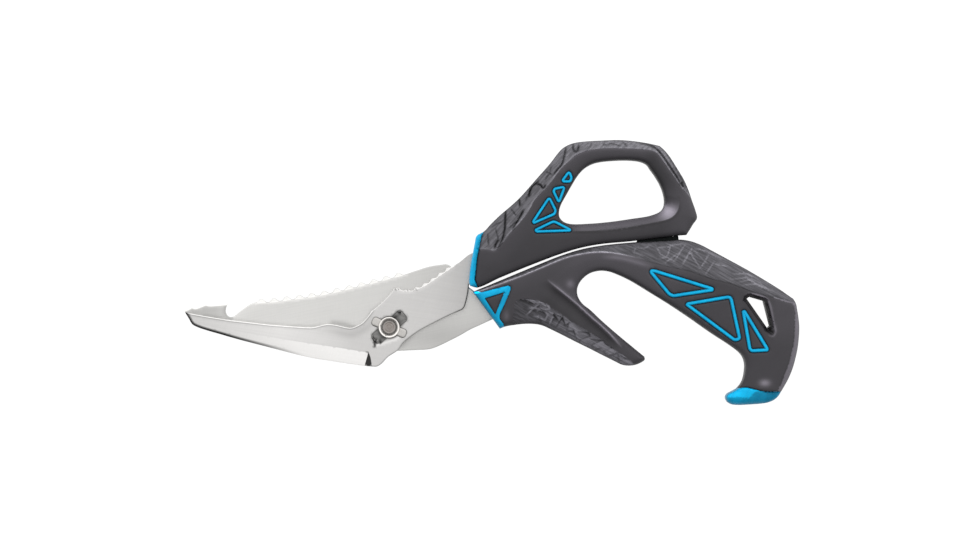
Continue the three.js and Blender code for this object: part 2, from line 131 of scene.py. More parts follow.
def toothed(run, teeth, depth, sharpness, steps=10):
    """A run with smooth teeth that stand out to its left. A higher sharpness gives narrower teeth."""
    travel = np.concatenate([[0], np.cumsum(np.linalg.norm(np.diff(run, axis=0), axis=1))])
    share = np.arange(teeth * steps + 1) / (teeth * steps)
    along = np.column_stack([np.interp(share * travel[-1], travel, column) for column in run.T])
    height = depth * ((1 - np.cos(2 * math.pi * teeth * share)) / 2) ** sharpness
    x, y = headings(along, False).T
    return along + height[:, None] * np.column_stack([-y, x])


def nearest(spots, run, closed=False):
    """How far each spot is from a run, on which side of it (left is positive), and how far along it."""
    ends = np.roll(run, -1, 0) if closed else run[1:]
    starts = run if closed else run[:-1]
    far, side, along = np.full(len(spots), 1e9), np.zeros(len(spots)), np.zeros(len(spots))
    travelled = 0.0
    for a, b in zip(starts, ends):
        way = b - a
        length = max(np.linalg.norm(way), 1e-9)
        off = spots - a
        reach = np.clip(off @ way / length ** 2, 0, 1)
        gap = np.hypot(*(off - reach[:, None] * way).T)
        closer = gap < far
        far[closer] = gap[closer]
        side[closer] = (way[0] * off[closer, 1] - way[1] * off[closer, 0]) / length
        along[closer] = travelled + reach[closer] * length
        travelled += length
    return far, side, along


def inside(spots, loop):
    """Whether each spot lies inside a closed run."""
    x, y = spots.T
    crossed = np.zeros(len(spots), bool)
    for (ax, ay), (bx, by) in zip(loop, np.roll(loop, -1, 0)):
        if ay != by:
            crossed ^= ((ay > y) != (by > y)) & (x < ax + (bx - ax) * (y - ay) / (by - ay))
    return crossed


THINNED = 0.12  # loose spots that share a square of this size are thinned to one
KEPT_OFF = 0.09  # loose spots stay this far from outlines and cuts


def triangulated(loops, cuts=(), guides=(), spacing=1.0):
    """Spots and triangles that fill the first loop less the others. Cuts are open runs that edges follow.
    A guide is a run, whether it is closed, and the sideways distances at which it gets rows of spots."""
    fixed, edges, fences = [], [], []
    for run, closed in [(loop, True) for loop in loops] + [(cut, False) for cut in cuts]:
        first = sum(len(other) for other in fixed)
        fixed.append(run)
        fences.append((run, closed))
        edges += [(first + i, first + (i + 1) % len(run)) for i in range(len(run) - (not closed))]
    rows = [shifted(run, distance, closed) for run, closed, distances in guides for distance in distances]
    low, high = loops[0].min(0), loops[0].max(0)
    columns, levels = np.arange(low[0], high[0], spacing), np.arange(low[1], high[1], spacing * 0.87)
    across, up = np.meshgrid(columns, levels)
    across[1::2] += spacing / 2
    grid = np.column_stack([across.ravel(), up.ravel()])
    for run, closed, distances in guides:
        clear = max(abs(distance) for distance in distances) + spacing * 0.35
        grid = grid[nearest(grid, run, closed)[0] > clear]
    loose = np.vstack(rows + [grid]) if rows else grid
    loose = loose[np.unique(np.round(loose / THINNED), axis=0, return_index=True)[1]]
    within = inside(loose, loops[0])
    for hole in loops[1:]:
        within &= ~inside(loose, hole)
    loose = loose[within]
    for run, closed in fences:
        loose = loose[nearest(loose, run, closed)[0] > KEPT_OFF]
    spots = np.vstack(fixed + [loose])
    found, _, faces, *_ = delaunay_2d_cdt([tuple(spot) for spot in spots], edges, [], 0, 1e-5, False)
    spots = np.array([tuple(spot) for spot in found])
    faces = np.array([face for face in faces if len(face) == 3])
    a, b, c = (spots[faces[:, i]] for i in range(3))
    area = (b[:, 0] - a[:, 0]) * (c[:, 1] - a[:, 1]) - (b[:, 1] - a[:, 1]) * (c[:, 0] - a[:, 0])
    faces[area < 0] = faces[area < 0][:, ::-1]
    centres = spots[faces].mean(1)
    kept = inside(centres, loops[0]) & (np.abs(area) > 1e-7)
    for hole in loops[1:]:
        kept &= ~inside(centres, hole)
    return spots, faces[kept]


def made(name, points, faces, finish, tone=None, crisp=40):
    """An object from points in millimetres about the pivot. Its finish takes the tone, point by point."""
    mesh = bpy.data.meshes.new(name)
    place = (np.asarray(points, float) + [*PIVOT, 0]) * MM
    mesh.from_pydata(place.tolist(), [], [list(map(int, face)) for face in faces])
    mesh.validate()
    mesh.shade_smooth()
    mesh.set_sharp_from_angle(angle=math.radians(crisp))
    layer = mesh.attributes.new("tone", "FLOAT", "POINT")
    layer.data.foreach_set("value", np.ones(len(points)) if tone is None else np.asarray(tone, float))
    mesh.materials.append(finish.material)
    piece = bpy.data.objects.new(name, mesh)
    bpy.context.scene.collection.objects.link(piece)
    return piece


def slab(spots, faces, top, bottom, tone=None, back_tone=None):
    """A closed body between two heights at each spot: its points, its faces and its tone."""
    used, local = np.unique(faces, return_inverse=True)
    local = local.reshape(-1, 3)
    count = len(used)
    flat = spots[used]
    points = np.vstack([np.column_stack([flat, top[used]]), np.column_stack([flat, bottom[used]])])
    sides = {(a, b) for face in local for a, b in zip(face, np.roll(face, -1))}
    rim = [(a, b) for a, b in sides if (b, a) not in sides]
    walls = [(a, a + count, b + count, b) for a, b in sorted(rim)]
    skin = [*local, *(local[:, ::-1] + count), *walls]
    if tone is None:
        return points, skin, None
    back = tone if back_tone is None else back_tone
    return points, skin, np.concatenate([tone[used], back[used]])


def rounding(gap, radius):
    """How far a rounded edge has fallen, at a distance from the outline."""
    return radius - np.sqrt(radius ** 2 - np.clip(radius - gap, 0, radius) ** 2)


def bell(gap, width):
    """1 on a line, falling off smoothly to both sides of it."""
    return np.exp(-((gap / width) ** 2))


def rise(values, start, length):
    """0 up to a start, then rising to 1 over a length. A negative length makes it rise the other way."""
    return np.clip((values - start) / length, 0, 1)


class Signal:
    """An output of a shader node. Arithmetic on it adds the Math nodes that work it out."""

    def __init__(self, nodes, socket):
        self.nodes, self.socket = nodes, socket

    def maths(self, operation, *values):
        """A Math node on numbers or signals."""
        return self.nodes.node("ShaderNodeMath", {"operation": operation}, dict(enumerate(values)))

    def __add__(self, other):
        return self.maths("ADD", self, other)

    def __sub__(self, other):
        return self.maths("SUBTRACT", self, other)

    def __rsub__(self, other):
        return self.maths("SUBTRACT", other, self)

    def __mul__(self, other):
        return self.maths("MULTIPLY", self, other)

    __radd__ = __add__
    __rmul__ = __mul__

    def held(self):
        """The value, kept from 0 to 1."""
        return self.maths("MINIMUM", self.maths("MAXIMUM", self, 0.0), 1.0)


class Nodes:
    """The shader nodes of a material, or of the sky."""

    def __init__(self, owner):
        owner.use_nodes = True
        self.tree = owner.node_tree

    def feed(self, sockets, values):
        """Sets sockets, or links signals to them."""
        for key, value in values.items():
            if isinstance(value, Signal):
                self.tree.links.new(value.socket, sockets[key])
            else:
                sockets[key].default_value = value

    def node(self, kind, settings=None, values=None, output=0):
        """Adds a node: its type, then its settings, then the values or links of its sockets."""
        added = self.tree.nodes.new(kind)
        for key, value in (settings or {}).items():
            if key == "stops":
                ramp = added.color_ramp.elements
                while len(ramp) < len(value):
                    ramp.new(0.5)
                for stop, (position, shade) in zip(ramp, value):
                    stop.position, stop.color = position, (shade, shade, shade, 1)
            else:
                setattr(added, key, value)
        self.feed(added.inputs, values or {})
        return Signal(self, added.outputs[output]) if len(added.outputs) else None


class Finish(Nodes):
    """A material on a Principled shader."""

    def __init__(self, name):
        self.material = bpy.data.materials.new(name)
        super().__init__(self.material)
        self.tree.nodes.clear()

    def surface(self, **values):
        """Adds the shader, with the values or links of its sockets, and the material's output."""
        sockets = {key.replace("_", " "): value for key, value in values.items()}
        shader = self.node("ShaderNodeBsdfPrincipled", {}, sockets)
        self.node("ShaderNodeOutputMaterial", {}, {"Surface": shader})

    def grain(self, size, detail, stretch=(1, 1, 1), turn=0.0):
        """Noise from 0 to 1 with spots of a size in millimetres, longer where the stretch is above 1."""
        place = self.node("ShaderNodeTexCoord", output="Object")
        laid = self.node("ShaderNodeMapping", {"vector_type": "TEXTURE"}, {
            "Vector": place,
            "Rotation": (0, 0, math.radians(turn)),
            "Scale": tuple(size * MM * axis for axis in stretch),
        })
        return self.node("ShaderNodeTexNoise", {}, {
            "Vector": laid, "Scale": 1.0, "Detail": detail, "Roughness": 0.55})

    def contrast(self, signal, low, high):
        """0 below the low value, 1 above the high one, and smooth between."""
        return self.node("ShaderNodeMapRange", {"interpolation_type": "SMOOTHSTEP"}, {
            "Value": signal, "From Min": low, "From Max": high})

    def tone(self):
        """The tone that a mesh carries point by point."""
        return self.node("ShaderNodeAttribute", {"attribute_name": "tone"}, output="Fac")

    def blend(self, factor, a, b, how="MIX"):
        """A mix of two colours."""
        return self.node("ShaderNodeMix", {"data_type": "RGBA", "blend_type": how},
                         {0: factor, 6: a, 7: b}, 2)

    def shaded(self, colour, brightness):
        """A colour times a brightness that changes over the surface."""
        grey = self.node("ShaderNodeCombineColor", {}, {0: brightness, 1: brightness, 2: brightness})
        return self.blend(1.0, colour, grey, "MULTIPLY")

    def bumped(self, height, depth):
        """Fine relief: a height from 0 to 1, and its depth in millimetres."""
        return self.node("ShaderNodeBump", {}, {"Height": height, "Distance": depth * MM, "Strength": 1.0})


def paint(red, green, blue):
    """A colour given as 0 to 255 on a screen, as the linear one that a shader takes."""
    screen = [value / 255 for value in (red, green, blue)]
    return (*(v / 12.92 if v < 0.04045 else ((v + 0.055) / 1.055) ** 2.4 for v in screen), 1.0)


def brushed_steel(name, tint, turn):
    """Ground and brushed stainless: long fine lines, soft stains and a few scratches over its tone."""
    finish = Finish(name)
    lay = finish.grain(0.5, 5, (60, 1, 1), turn)
    hair = finish.grain(0.12, 3, (150, 1, 1), turn)
    cross = finish.grain(0.25, 3, (22, 1, 1), turn + 78)
    stain = finish.grain(11, 3, (2, 1, 1), turn + 12)
    scratch = finish.contrast(finish.grain(0.35, 2, (90, 1, 1), turn + 31), 0.69, 0.78)
    wear = 1.0 + (lay - 0.5) * 0.13 + (cross - 0.5) * 0.091 + (stain - 0.5) * 0.07 - scratch * 0.05
    finish.surface(
        Base_Color=finish.shaded(tint, (finish.tone() * wear).held()),
        Metallic=1.0,
        Roughness=(0.22 + hair * 0.14 + stain * 0.06).held(),
        Normal=finish.bumped(hair * 0.5 + lay * 0.5 - scratch * 0.3, 0.008),
    )
    return finish


SCALER_TEETH, SCALER_DEPTH, SCALER_SHARPNESS = 12, 1.4, 1.2
SCALER_GRIND = 0.5  # width of the hollow ground behind the teeth
RIVET_HOLE = 3.05  # radius
KEYHOLE_RADIUS = 4.2
LOBE_REACH, LOBE_HALF, LOBE_CORNER = 7.7, 2.4, 0.9  # a lobe's reach from the axis, half width and rounding
KEYHOLE_TURN = 42  # degrees from +X to the lobes, with the shears closed
EDGE_ROWS = (0.12, 0.3, 0.5)  # rows of spots that make a blade's rounded edge smooth
DARKEST = 0.03  # the least tone of the steel

rear_low, rear_high = heights("rear_blade")
rear_tip = curve(
    (-80.3, 6.8), (-78.3, 7.7), (-77.2, 8.3), (-75.9, 7.9), (-73.2, 8.8), (-71.8, 9.3), (-70.2, 9.0),
    (-66.5, 9.3), (-63.2, 9.5), step=0.5)
rear_notch = curve(
    (-63.2, 9.5), (-63.9, 7.5), (-64, 6), (-63.1, 4.4), (-61.8, 4), (-60.5, 4.5), (-58.4, 6.2),
    (-54.5, 8.9), (-52.5, 9.7), step=0.5)
scaler_base = curve(
    (-52.5, 9.7), (-46.6, 9.9), (-38.8, 10.9), (-31, 11.9), (-21.2, 13.8), (-7.5, 17.1), (6, 20.6))
rear_scaler = toothed(scaler_base, SCALER_TEETH, SCALER_DEPTH, SCALER_SHARPNESS)
rear_shoulder = curve(
    (6, 20.6), (10, 22), (15.9, 23.8), (19.8, 24.4), (22.6, 24.6), (25.5, 22.6), (28.5, 18.8),
    (30.9, 15.9), (33.2, 14.1))
rear_tang_top = curve(
    (33.2, 14.1), (36, 13), (45, 14.5), (60, 20.5), (75, 26.2), (88, 27.2), (106, 24.2), step=3)
rear_tang_under = curve((106, 20.2), (88, 23.9), (76, 22.8), (62, 14), (50, 7.5), (39.4, 2.7), step=3)
rear_neck = curve(
    (39.4, 2.7), (35.5, 0.9), (31.6, -0.9), (27.6, -3.2), (23.7, -5.2), (19.8, -7.1), (15.9, -8.5),
    (10, -8.9), (1.8, -9.3))
rear_edge = curve(
    (1.8, -9.3), (-8, -7.6), (-15, -4), (-30, -2.2), (-46, -1), (-62, 0.9), (-79.2, 4.6), step=2)
rear_rim = joined(rear_tip, rear_notch, rear_scaler, rear_shoulder, rear_tang_top, rear_tang_under,
                  rear_neck, rear_edge, line((-79.2, 4.6), (-80.3, 6.8)))


def turned(points, degrees):
    """Points turned about the pivot axis."""
    angle = math.radians(degrees)
    spin = np.array([[math.cos(angle), math.sin(angle)], [-math.sin(angle), math.cos(angle)]])
    return np.asarray(points, float) @ spin


def keyhole():
    """The stud's round hole with a lobe on each side, and a relief slot beside the lower one."""
    root = math.sqrt(KEYHOLE_RADIUS ** 2 - LOBE_HALF ** 2)
    shoulder, flank = LOBE_REACH - LOBE_CORNER, LOBE_HALF - LOBE_CORNER
    lobe = [(root, -LOBE_HALF), (shoulder, -LOBE_HALF), (LOBE_REACH, -flank),
            (LOBE_REACH, flank), (shoulder, LOBE_HALF), (root, LOBE_HALF)]
    first = math.atan2(LOBE_HALF, root)
    turns = np.linspace(first, math.pi - first, 18)[1:-1]
    half = np.vstack([lobe, KEYHOLE_RADIUS * np.column_stack([np.cos(turns), np.sin(turns)])])
    whole = turned(np.vstack([half, -half]), KEYHOLE_TURN)
    slot = np.array([(-6.0, -5.6), (-5.5, -7.4), (-5.1, -5.2)])
    slot_root = int(np.argmin(np.hypot(*(whole - slot[0]).T)))
    return joined(whole[:slot_root + 1], slot, whole[slot_root + 1:])


keyhole_rim = keyhole()  # cut in the front blade; the rear one shows through it, and is shaded round it
jaw_line = curve((-72, 4.7), (-62.3, 3.2), (-46.6, 1.4), (-38.8, 0.8), (-31, 0.4), (-27.1, 1))
hollow_line = curve((-22, 1.6), (-18, 1.2), (-14, -0.2))
rear_spots, rear_faces = triangulated(
    [rear_rim, circle(RIVET_HOLE)],
    guides=[
        (rear_rim, True, EDGE_ROWS),
        (scaler_base, False, (0.5, 0.25, 0, -0.25, -SCALER_GRIND)),
        (rear_tip, False, (-0.5, -0.75, -1.1)),
        (circle(RIVET_HOLE), True, (-0.3,)),
        (keyhole_rim, True, (0.6, 0.3, 0, -0.3)),
    ],
    spacing=0.95)
rear_x, rear_y = rear_spots.T
rim_gap = nearest(rear_spots, rear_rim, True)[0]
scaler_gap, scaler_side, _ = nearest(rear_spots, scaler_base)
tip_gap = nearest(rear_spots, rear_tip)[0]
notch_gap = nearest(rear_spots, rear_notch)[0]
neck_gap = nearest(rear_spots, rear_neck)[0]
on_teeth = (scaler_side > -0.1) & (scaler_gap < 2) & (rear_x < 6.5) & (rear_x > -52.6)
scaler_in = rise(np.minimum(scaler_side, 0), -SCALER_GRIND, SCALER_GRIND) * (scaler_gap < 2) * (rear_x < 7)
rear_top = rear_high - rounding(rim_gap, 0.3) - 0.4 * scaler_in ** 1.5 - 0.25 * rise(tip_gap, 0.9, -0.9)
rear_bottom = rear_low + rounding(rim_gap, 0.3) + 0.3 * scaler_in ** 1.5

# The steel's tone along the blade is a painted reflection. Its ground teeth and the tip's bevel get
# painted highlights with painted shade at their edges, and the notch and the neck get painted shade.
rear_tone = np.interp(rear_x, [-80, -76, -68, -62, -40, -5, 10, 20, 30, 45],
                      [0.52, 0.5, 0.54, 0.68, 0.69, 0.66, 0.61, 0.57, 0.58, 0.53])
rear_tone -= 0.09 * rise(np.abs(rear_y + 4), 9, -9) * (rear_x > 5)
rear_tone = np.where(on_teeth, 0.97, rear_tone) - 0.4 * on_teeth * bell(rim_gap, 0.2)
rear_tone += 0.65 * bell(tip_gap, 0.85) - 0.08 * bell(tip_gap - 1.2, 0.3)
rear_tone += np.where(rear_x < -61, -0.16 * bell(notch_gap, 1.0), 0.06 * bell(notch_gap, 2.5))
rear_tone -= 0.1 * bell(neck_gap, 0.25)
rear_back_tone = rear_tone.copy()

# On its front, painted shade where the other blade shades it: a painted contact shadow along the jaw and
# the hollow, painted shadow in the keyhole's lobes, darkest on their shaded side, and round the stud.
rear_tone -= 0.2 * bell(nearest(rear_spots, hollow_line)[0], 1.1)
rear_tone -= 0.1 * bell(nearest(rear_spots, jaw_line)[0], 0.5)
lobe_along, lobe_across = turned(rear_spots, -KEYHOLE_TURN).T
in_shade = rise(lobe_across * np.sign(lobe_along), -LOBE_HALF / 2, LOBE_HALF)
in_shade = np.maximum(in_shade, 0.8 * (lobe_along < -6.9))
in_lobes = inside(rear_spots, keyhole_rim)
lobe_gap = nearest(rear_spots, keyhole_rim, True)[0]
rear_tone *= 1 - 0.3 * in_lobes
rear_tone *= 1 - (0.5 + 0.49 * in_shade) * bell(lobe_gap, 0.45 + 1.2 * in_shade ** 2) * in_lobes
stud_gap = np.hypot(rear_x, rear_y)
rear_tone *= 1 - 0.6 * rise(stud_gap, 10.4, -6.5) - 0.2 * bell(stud_gap - 4.4, 0.8)
rear_tone = np.maximum(rear_tone, DARKEST)

rear_steel = brushed_steel("rear_blade_steel", (1.0, 0.99, 0.965, 1), 12)
rear_points, rear_skin, rear_shade = slab(rear_spots, rear_faces, rear_top, rear_bottom, rear_tone,
                                          rear_back_tone)
rear_blade = made("scaler_blade", rear_points, rear_skin, rear_steel, rear_shade)
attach(rear_blade, "rear_half")
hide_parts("rear_blade")


# ---------------------------------------------------------------------------------------------------------
# Front blade: the lower jaw, blanked from the same plate, then ground to a long bevel, with a fine second
# bevel on its wavy cutting edge, small grip teeth at its corner and a keyhole that lets it off the stud.
GRIP_TEETH, GRIP_DEPTH, GRIP_SHARPNESS = 7, 0.75, 1.1
GRIND_SLOPE = math.tan(math.radians(7))
EDGE_BEVEL = 0.36  # width of the fine bevel along the cutting edge
BACK_CHAMFER = 1.0  # width of the chamfer along the back of the tip

front_low, front_high = heights("front_blade")
front_edge = curve(
    (-79.8, 5.9), (-74, 4.8), (-62.3, 2.9), (-54.5, 2), (-46.6, 1.1), (-38.8, 0.5), (-33, 0.1),
    (-29.8, 0.1), (-27.1, 0.7), (-24.4, 1.3), (-21.2, 1.1), (-15, -0.1), (-12.2, 0.9), (-10.3, 2.1),
    (-8.3, 4.4), (-6.8, 6.4), step=0.9)
front_riser = curve((-6.8, 6.4), (-3.6, 9.1), (0.3, 13), (1.8, 15.2))
grip_base = curve(
    (1.8, 15.2), (4.2, 14.6), (8.1, 14.2), (11.2, 15.2), (14, 16.5), (19.8, 20.4), (24.5, 23.6))
front_grip = toothed(grip_base, GRIP_TEETH, GRIP_DEPTH, GRIP_SHARPNESS)
front_tang_top = curve(
    (24.5, 23.6), (27.6, 25.5), (32.4, 29), (37, 28), (45, 28.8), (56, 32.5), (68, 37), (80, 38.2),
    (95, 39.6), (104, 40.4), step=2)
front_tang_under = curve(
    (104, 37.4), (95, 36.4), (80, 35), (68, 32.8), (56, 28), (45, 23.5), (37, 19.7), (33, 18),
    (31.2, 16.6), step=3)
front_neck = curve(
    (31.2, 16.6), (30.7, 13), (30.1, 10.2), (29.4, 8), (28.7, 7.1), (27, 6.3), (23.7, 4.9), (19.8, 3),
    (12, -1.1), (8.1, -3.8), (5.4, -6.1), (3.4, -8.9), (-0.5, -11.6), (-3, -14.2), (-4.8, -15.3),
    (-6.8, -15.3))
front_back = curve(
    (-6.8, -15.3), (-9.5, -15.1), (-21.2, -13.4), (-31, -11.8), (-46.6, -7.9), (-64.2, -3.2),
    (-76.8, 1.1), (-78, 3), (-79.8, 5.9), step=1.2)
front_rim = joined(front_edge, front_riser, front_grip, front_tang_top, front_tang_under, front_neck,
                   front_back)
grind_line = line((-58, -1.7), (-42, -4.4), (-34.9, -5.5), (-19.3, -7.8), (-8.1, -9.7), step=1.5)
step_left = line((-8.1, -9.7), (-9.4, -14.9), step=0.8)
step_right = curve((-8.1, -9.7), (-7.3, -12), (-6.9, -15.1), step=0.8)
wedge = np.vstack([step_left, step_right[::-1]])
scribble = curve((2.2, 15.1), (3.4, 14.9), (5, 15), (7, 14.6), (9, 14.8), (10.5, 14.9), step=0.4)
glint = curve((-4.8, -7), (-2.6, -6.4), (-0.3, -5.6), (2.6, -4.6), (4.6, -3), step=0.4)
front_spots, front_faces = triangulated(
    [front_rim, keyhole_rim],
    cuts=[grind_line, step_left, step_right[1:]],
    guides=[
        (front_rim, True, EDGE_ROWS),
        (front_edge, False, (-EDGE_BEVEL / 2, -EDGE_BEVEL, -EDGE_BEVEL - 0.25, -EDGE_BEVEL - 0.5)),
        (front_back, False, (-BACK_CHAMFER - 0.3, -BACK_CHAMFER, -BACK_CHAMFER * 0.75)),
        (grip_base, False, (0.1, -0.5, -0.9)),
        (keyhole_rim, True, (-0.14, -0.3)),
        (step_left, False, (-0.14, 0.14)),
        (step_right, False, (-0.14, 0.14)),
        (grind_line, False, (0.35, -0.35)),
        (front_neck, False, (-0.7,)),
        (glint, False, (-0.3, 0, 0.3)),
    ],
    spacing=0.9)
front_x, front_y = front_spots.T
rim_gap = nearest(front_spots, front_rim, True)[0]
edge_gap, _, edge_along = nearest(front_spots, front_edge)
_, grind_side, _ = nearest(front_spots, grind_line)
back_gap = nearest(front_spots, front_back)[0]
grip_gap, grip_side, _ = nearest(front_spots, grip_base)
riser_gap = nearest(front_spots, front_riser)[0]
neck_gap = nearest(front_spots, front_neck)[0]
glint_gap = nearest(front_spots, glint)[0]
scribble_gap = nearest(front_spots, scribble)[0]
keyhole_gap = nearest(front_spots, keyhole_rim, True)[0]
step_right_gap = nearest(front_spots, step_right)[0]
step_gap = np.minimum(nearest(front_spots, step_left)[0], step_right_gap)
left_of_step = (front_x + 8.1) * 5.2 - (front_y + 9.7) * 1.3 < 0
in_wedge = inside(front_spots, wedge) | (step_gap < 0.03)
below = np.clip(-grind_side, 0, None) * (left_of_step & (front_x < -8.05))
edge_in = rise(edge_gap, EDGE_BEVEL, -EDGE_BEVEL)
on_grip = (grip_side > -0.15) & (grip_gap < 1.4)

# The bevel fades towards the tip, where a chamfer along the back takes over.
bevel_drop = np.clip(below * GRIND_SLOPE * (1 - 0.55 * rise(front_x, -36, -22)), 0, 1.2)
wedge_drop = 0.75 * rise(step_right_gap, 0, 2.2) * in_wedge
chamfered = rise(front_x, -33, -30)
chamfer_in = rise(back_gap, BACK_CHAMFER, -BACK_CHAMFER) * chamfered
front_top = front_high - np.where(in_wedge, wedge_drop, bevel_drop) - 0.1 * edge_in - 0.5 * chamfer_in
front_top -= rounding(rim_gap, 0.2) + 0.2 * rise(grip_gap, 0.9, -0.9)
front_bottom = front_low + rounding(rim_gap, 0.15)

# The steel's tone along the flat face and the ground bevel is a painted reflection. Then painted
# highlights on its cutting edge, riser, glint and grip teeth, and painted shade along its edges, in the
# wave, along the neck, on the back chamfer, in the wedge and round the keyhole, besides its dark scribbled
# marks.
face = np.interp(front_x, [-80, -70, -55, -42, -28, -14, 4, 16, 24, 34],
                 [0.63, 0.66, 0.72, 0.78, 0.72, 0.63, 0.62, 0.6, 0.55, 0.47])
ground = np.interp(front_x, [-64, -52, -36, -20, -8], [0.7, 0.82, 0.97, 1.0, 1.0])
wave = bell(edge_gap - 2.6, 1.5) * rise(edge_along, 50, 12) * rise(edge_along, 76, -6)
front_tone = np.where(below > 0.02, ground * (1 - 0.06 * rise(below, 0, 6)), face)
front_tone += 0.2 * (edge_in > 0) - 0.28 * bell(edge_gap - EDGE_BEVEL - 0.22, 0.22) - 0.1 * wave
front_tone += 0.3 * bell(riser_gap, 0.3) + 0.2 * bell(glint_gap, 0.45)
front_tone = np.where(on_grip, 1.15, front_tone)
front_tone -= (0.32 + 0.4 * rise(front_x, 25, 4)) * bell(neck_gap, 0.36) + 0.12 * bell(back_gap, 0.25)
front_tone -= 0.8 * bell(scribble_gap, 0.5) * (0.55 + 0.45 * np.sin(front_x * 5.5 + front_y * 3))
front_tone *= 1 - 0.93 * chamfered * rise(back_gap, 1.28 * BACK_CHAMFER, -0.8 * BACK_CHAMFER)
front_tone *= (1 - 0.93 * in_wedge) * (1 - 0.95 * bell(keyhole_gap, 0.3))
front_tone = np.clip(front_tone, DARKEST, 1.2)

front_steel = brushed_steel("front_blade_steel", (1.0, 0.985, 0.97, 1), -9)
front_points, front_skin, front_shade = slab(front_spots, front_faces, front_top, front_bottom, front_tone,
                                             back_tone=face)
front_blade = made("cutting_blade", front_points, front_skin, front_steel, front_shade)
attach(front_blade, "front_half")
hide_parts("front_blade")


# ---------------------------------------------------------------------------------------------------------
# Pivot stud: turned stainless, with a dished and ringed head and two wings that hold the front blade down.
# Its thin end goes through the rear blade and is peened over a washer on the back.
RELEASE_ANGLE = 115  # degrees open at which the wings line up with the keyhole
WING_TURN = KEYHOLE_TURN + RELEASE_ANGLE
stud_low, stud_high = heights("pivot_stud")
washer_low, washer_high = heights("pivot_back_washer")


def lathe(profile, steps=72):
    """Points and faces of a profile of radius and height, turned about the pivot axis."""
    rings = np.array(profile, float)
    turns = 2 * math.pi * np.arange(steps) / steps
    points = np.array([(r * math.cos(a), r * math.sin(a), z) for r, z in rings for a in turns])
    faces = []
    for ring in range(len(rings) - 1):
        below, above = ring * steps, (ring + 1) * steps
        for i in range(steps):
            j = (i + 1) % steps
            faces.append((below + i, below + j, above + j, above + i))
    faces.append(tuple(range(steps))[::-1])
    faces.append(tuple((len(rings) - 1) * steps + i for i in range(steps)))
    return points, faces


def together(*bodies):
    """Several closed bodies as one set of points and faces."""
    points, faces, first = [], [], 0
    for body_points, body_faces in bodies:
        points.append(body_points)
        faces += [tuple(int(i) + first for i in face) for face in body_faces]
        first += len(body_points)
    return np.vstack(points), faces


stud_shaft = lathe([
    (0.6, stud_low), (2.6, stud_low + 0.05), (3.6, stud_low + 0.3), (4.15, washer_low),
    (3.0, washer_low + 0.02), (3.0, rear_high), (4.1, rear_high + 0.02), (4.1, stud_high - 0.35),
    (4.0, stud_high - 0.1),
    (3.82, stud_high), (3.66, stud_high - 0.04), (3.5, stud_high - 0.16), (3.2, stud_high - 0.45),
    (2.62, stud_high - 0.9), (2.48, stud_high - 0.86), (2.38, stud_high - 0.45), (2.2, stud_high - 0.36),
    (1.9, stud_high - 0.42), (1.75, stud_high - 0.5), (1.55, stud_high - 0.43), (1.0, stud_high - 0.45),
    (0.9, stud_high - 0.52), (0.75, stud_high - 0.47), (0.05, stud_high - 0.48),
])
wing_outline = joined(
    line((3.7, -1.75), (5.9, -1.9)),
    curve((5.9, -1.9), (6.8, -1.55), (7.2, -0.8), (7.2, 0.8), (6.8, 1.55), (5.9, 1.9), step=0.3),
    line((5.9, 1.9), (3.7, 1.75), (3.7, -1.75)))
wing_bodies = []
for turn in (WING_TURN, WING_TURN + 180):
    loop = turned(wing_outline, turn)
    spots, faces = triangulated([loop], guides=[(loop, True, (0.12, 0.3, 0.6))], spacing=0.5)
    gap = nearest(spots, loop, True)[0]
    top = front_high + 1.5 - rounding(gap, 0.6) - 0.09 * np.clip(np.hypot(*spots.T) - 4.5, 0, 4)
    under = np.full(len(spots), front_high + 0.1)
    # The wings' tone: painted shade round their edges.
    wing_bodies.append(slab(spots, faces, top, under, 0.75 - 0.6 * bell(gap, 0.25)))
stud_points, stud_faces = together(stud_shaft, *(body[:2] for body in wing_bodies))
stud_reach = np.hypot(stud_points[:, 0], stud_points[:, 1])
stud_level = stud_points[:, 2]
in_dish = (stud_reach > 2.4) & (stud_reach < 3.5) & (stud_level > front_high + 1)
down_shaft = (stud_reach > 4.05) & (stud_level < stud_high - 0.5)
# Painted shade in the dished head and down the side of the stud's head, a painted highlight on the rim,
# and the middle a little darker.
stud_tone = np.where(in_dish, 0.42, np.where(stud_reach < 2.45, 0.66, 1.25))
stud_tone = np.where(down_shaft, 0.3, stud_tone)
stud_tone[len(stud_shaft[0]):] = np.concatenate([body[2] for body in wing_bodies])


def turned_steel(name, pale, brown):
    """Lathe-turned stainless: rings round the axis, with a warm stain that oil leaves in the middle."""
    finish = Finish(name)
    place = finish.node("ShaderNodeTexCoord", output="Object")
    shift = finish.node("ShaderNodeVectorMath", {"operation": "SUBTRACT"}, {
        0: place, 1: (PIVOT[0] * MM, PIVOT[1] * MM, 0)})
    flat = finish.node("ShaderNodeVectorMath", {"operation": "MULTIPLY"}, {0: shift, 1: (1, 1, 0)})
    reach = finish.node("ShaderNodeVectorMath", {"operation": "LENGTH"}, {0: flat}, "Value") * (1 / MM)
    rings = finish.node("ShaderNodeMath", {"operation": "SINE"}, {0: reach * 24}) * 0.5 + 0.5
    stain = finish.grain(1.6, 4)
    middle = 1 - finish.contrast(reach, 1.9, 2.9)
    colour = finish.blend((middle * (0.45 + stain * 0.75)).held(), pale, brown)
    finish.surface(
        Base_Color=finish.shaded(colour, finish.tone() * (0.9 + 0.16 * stain)),
        Metallic=1.0,
        Roughness=(0.2 + 0.14 * stain + 0.05 * rings).held(),
        Normal=finish.bumped(rings * 0.6 + stain * 0.4, 0.02),
    )
    return finish


stud_steel = turned_steel("turned_stud_steel", paint(228, 225, 221), paint(166, 157, 151))
pivot_stud = made("winged_stud", stud_points, stud_faces, stud_steel, stud_tone, crisp=32)
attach(pivot_stud, "rear_half")
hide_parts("pivot_stud")

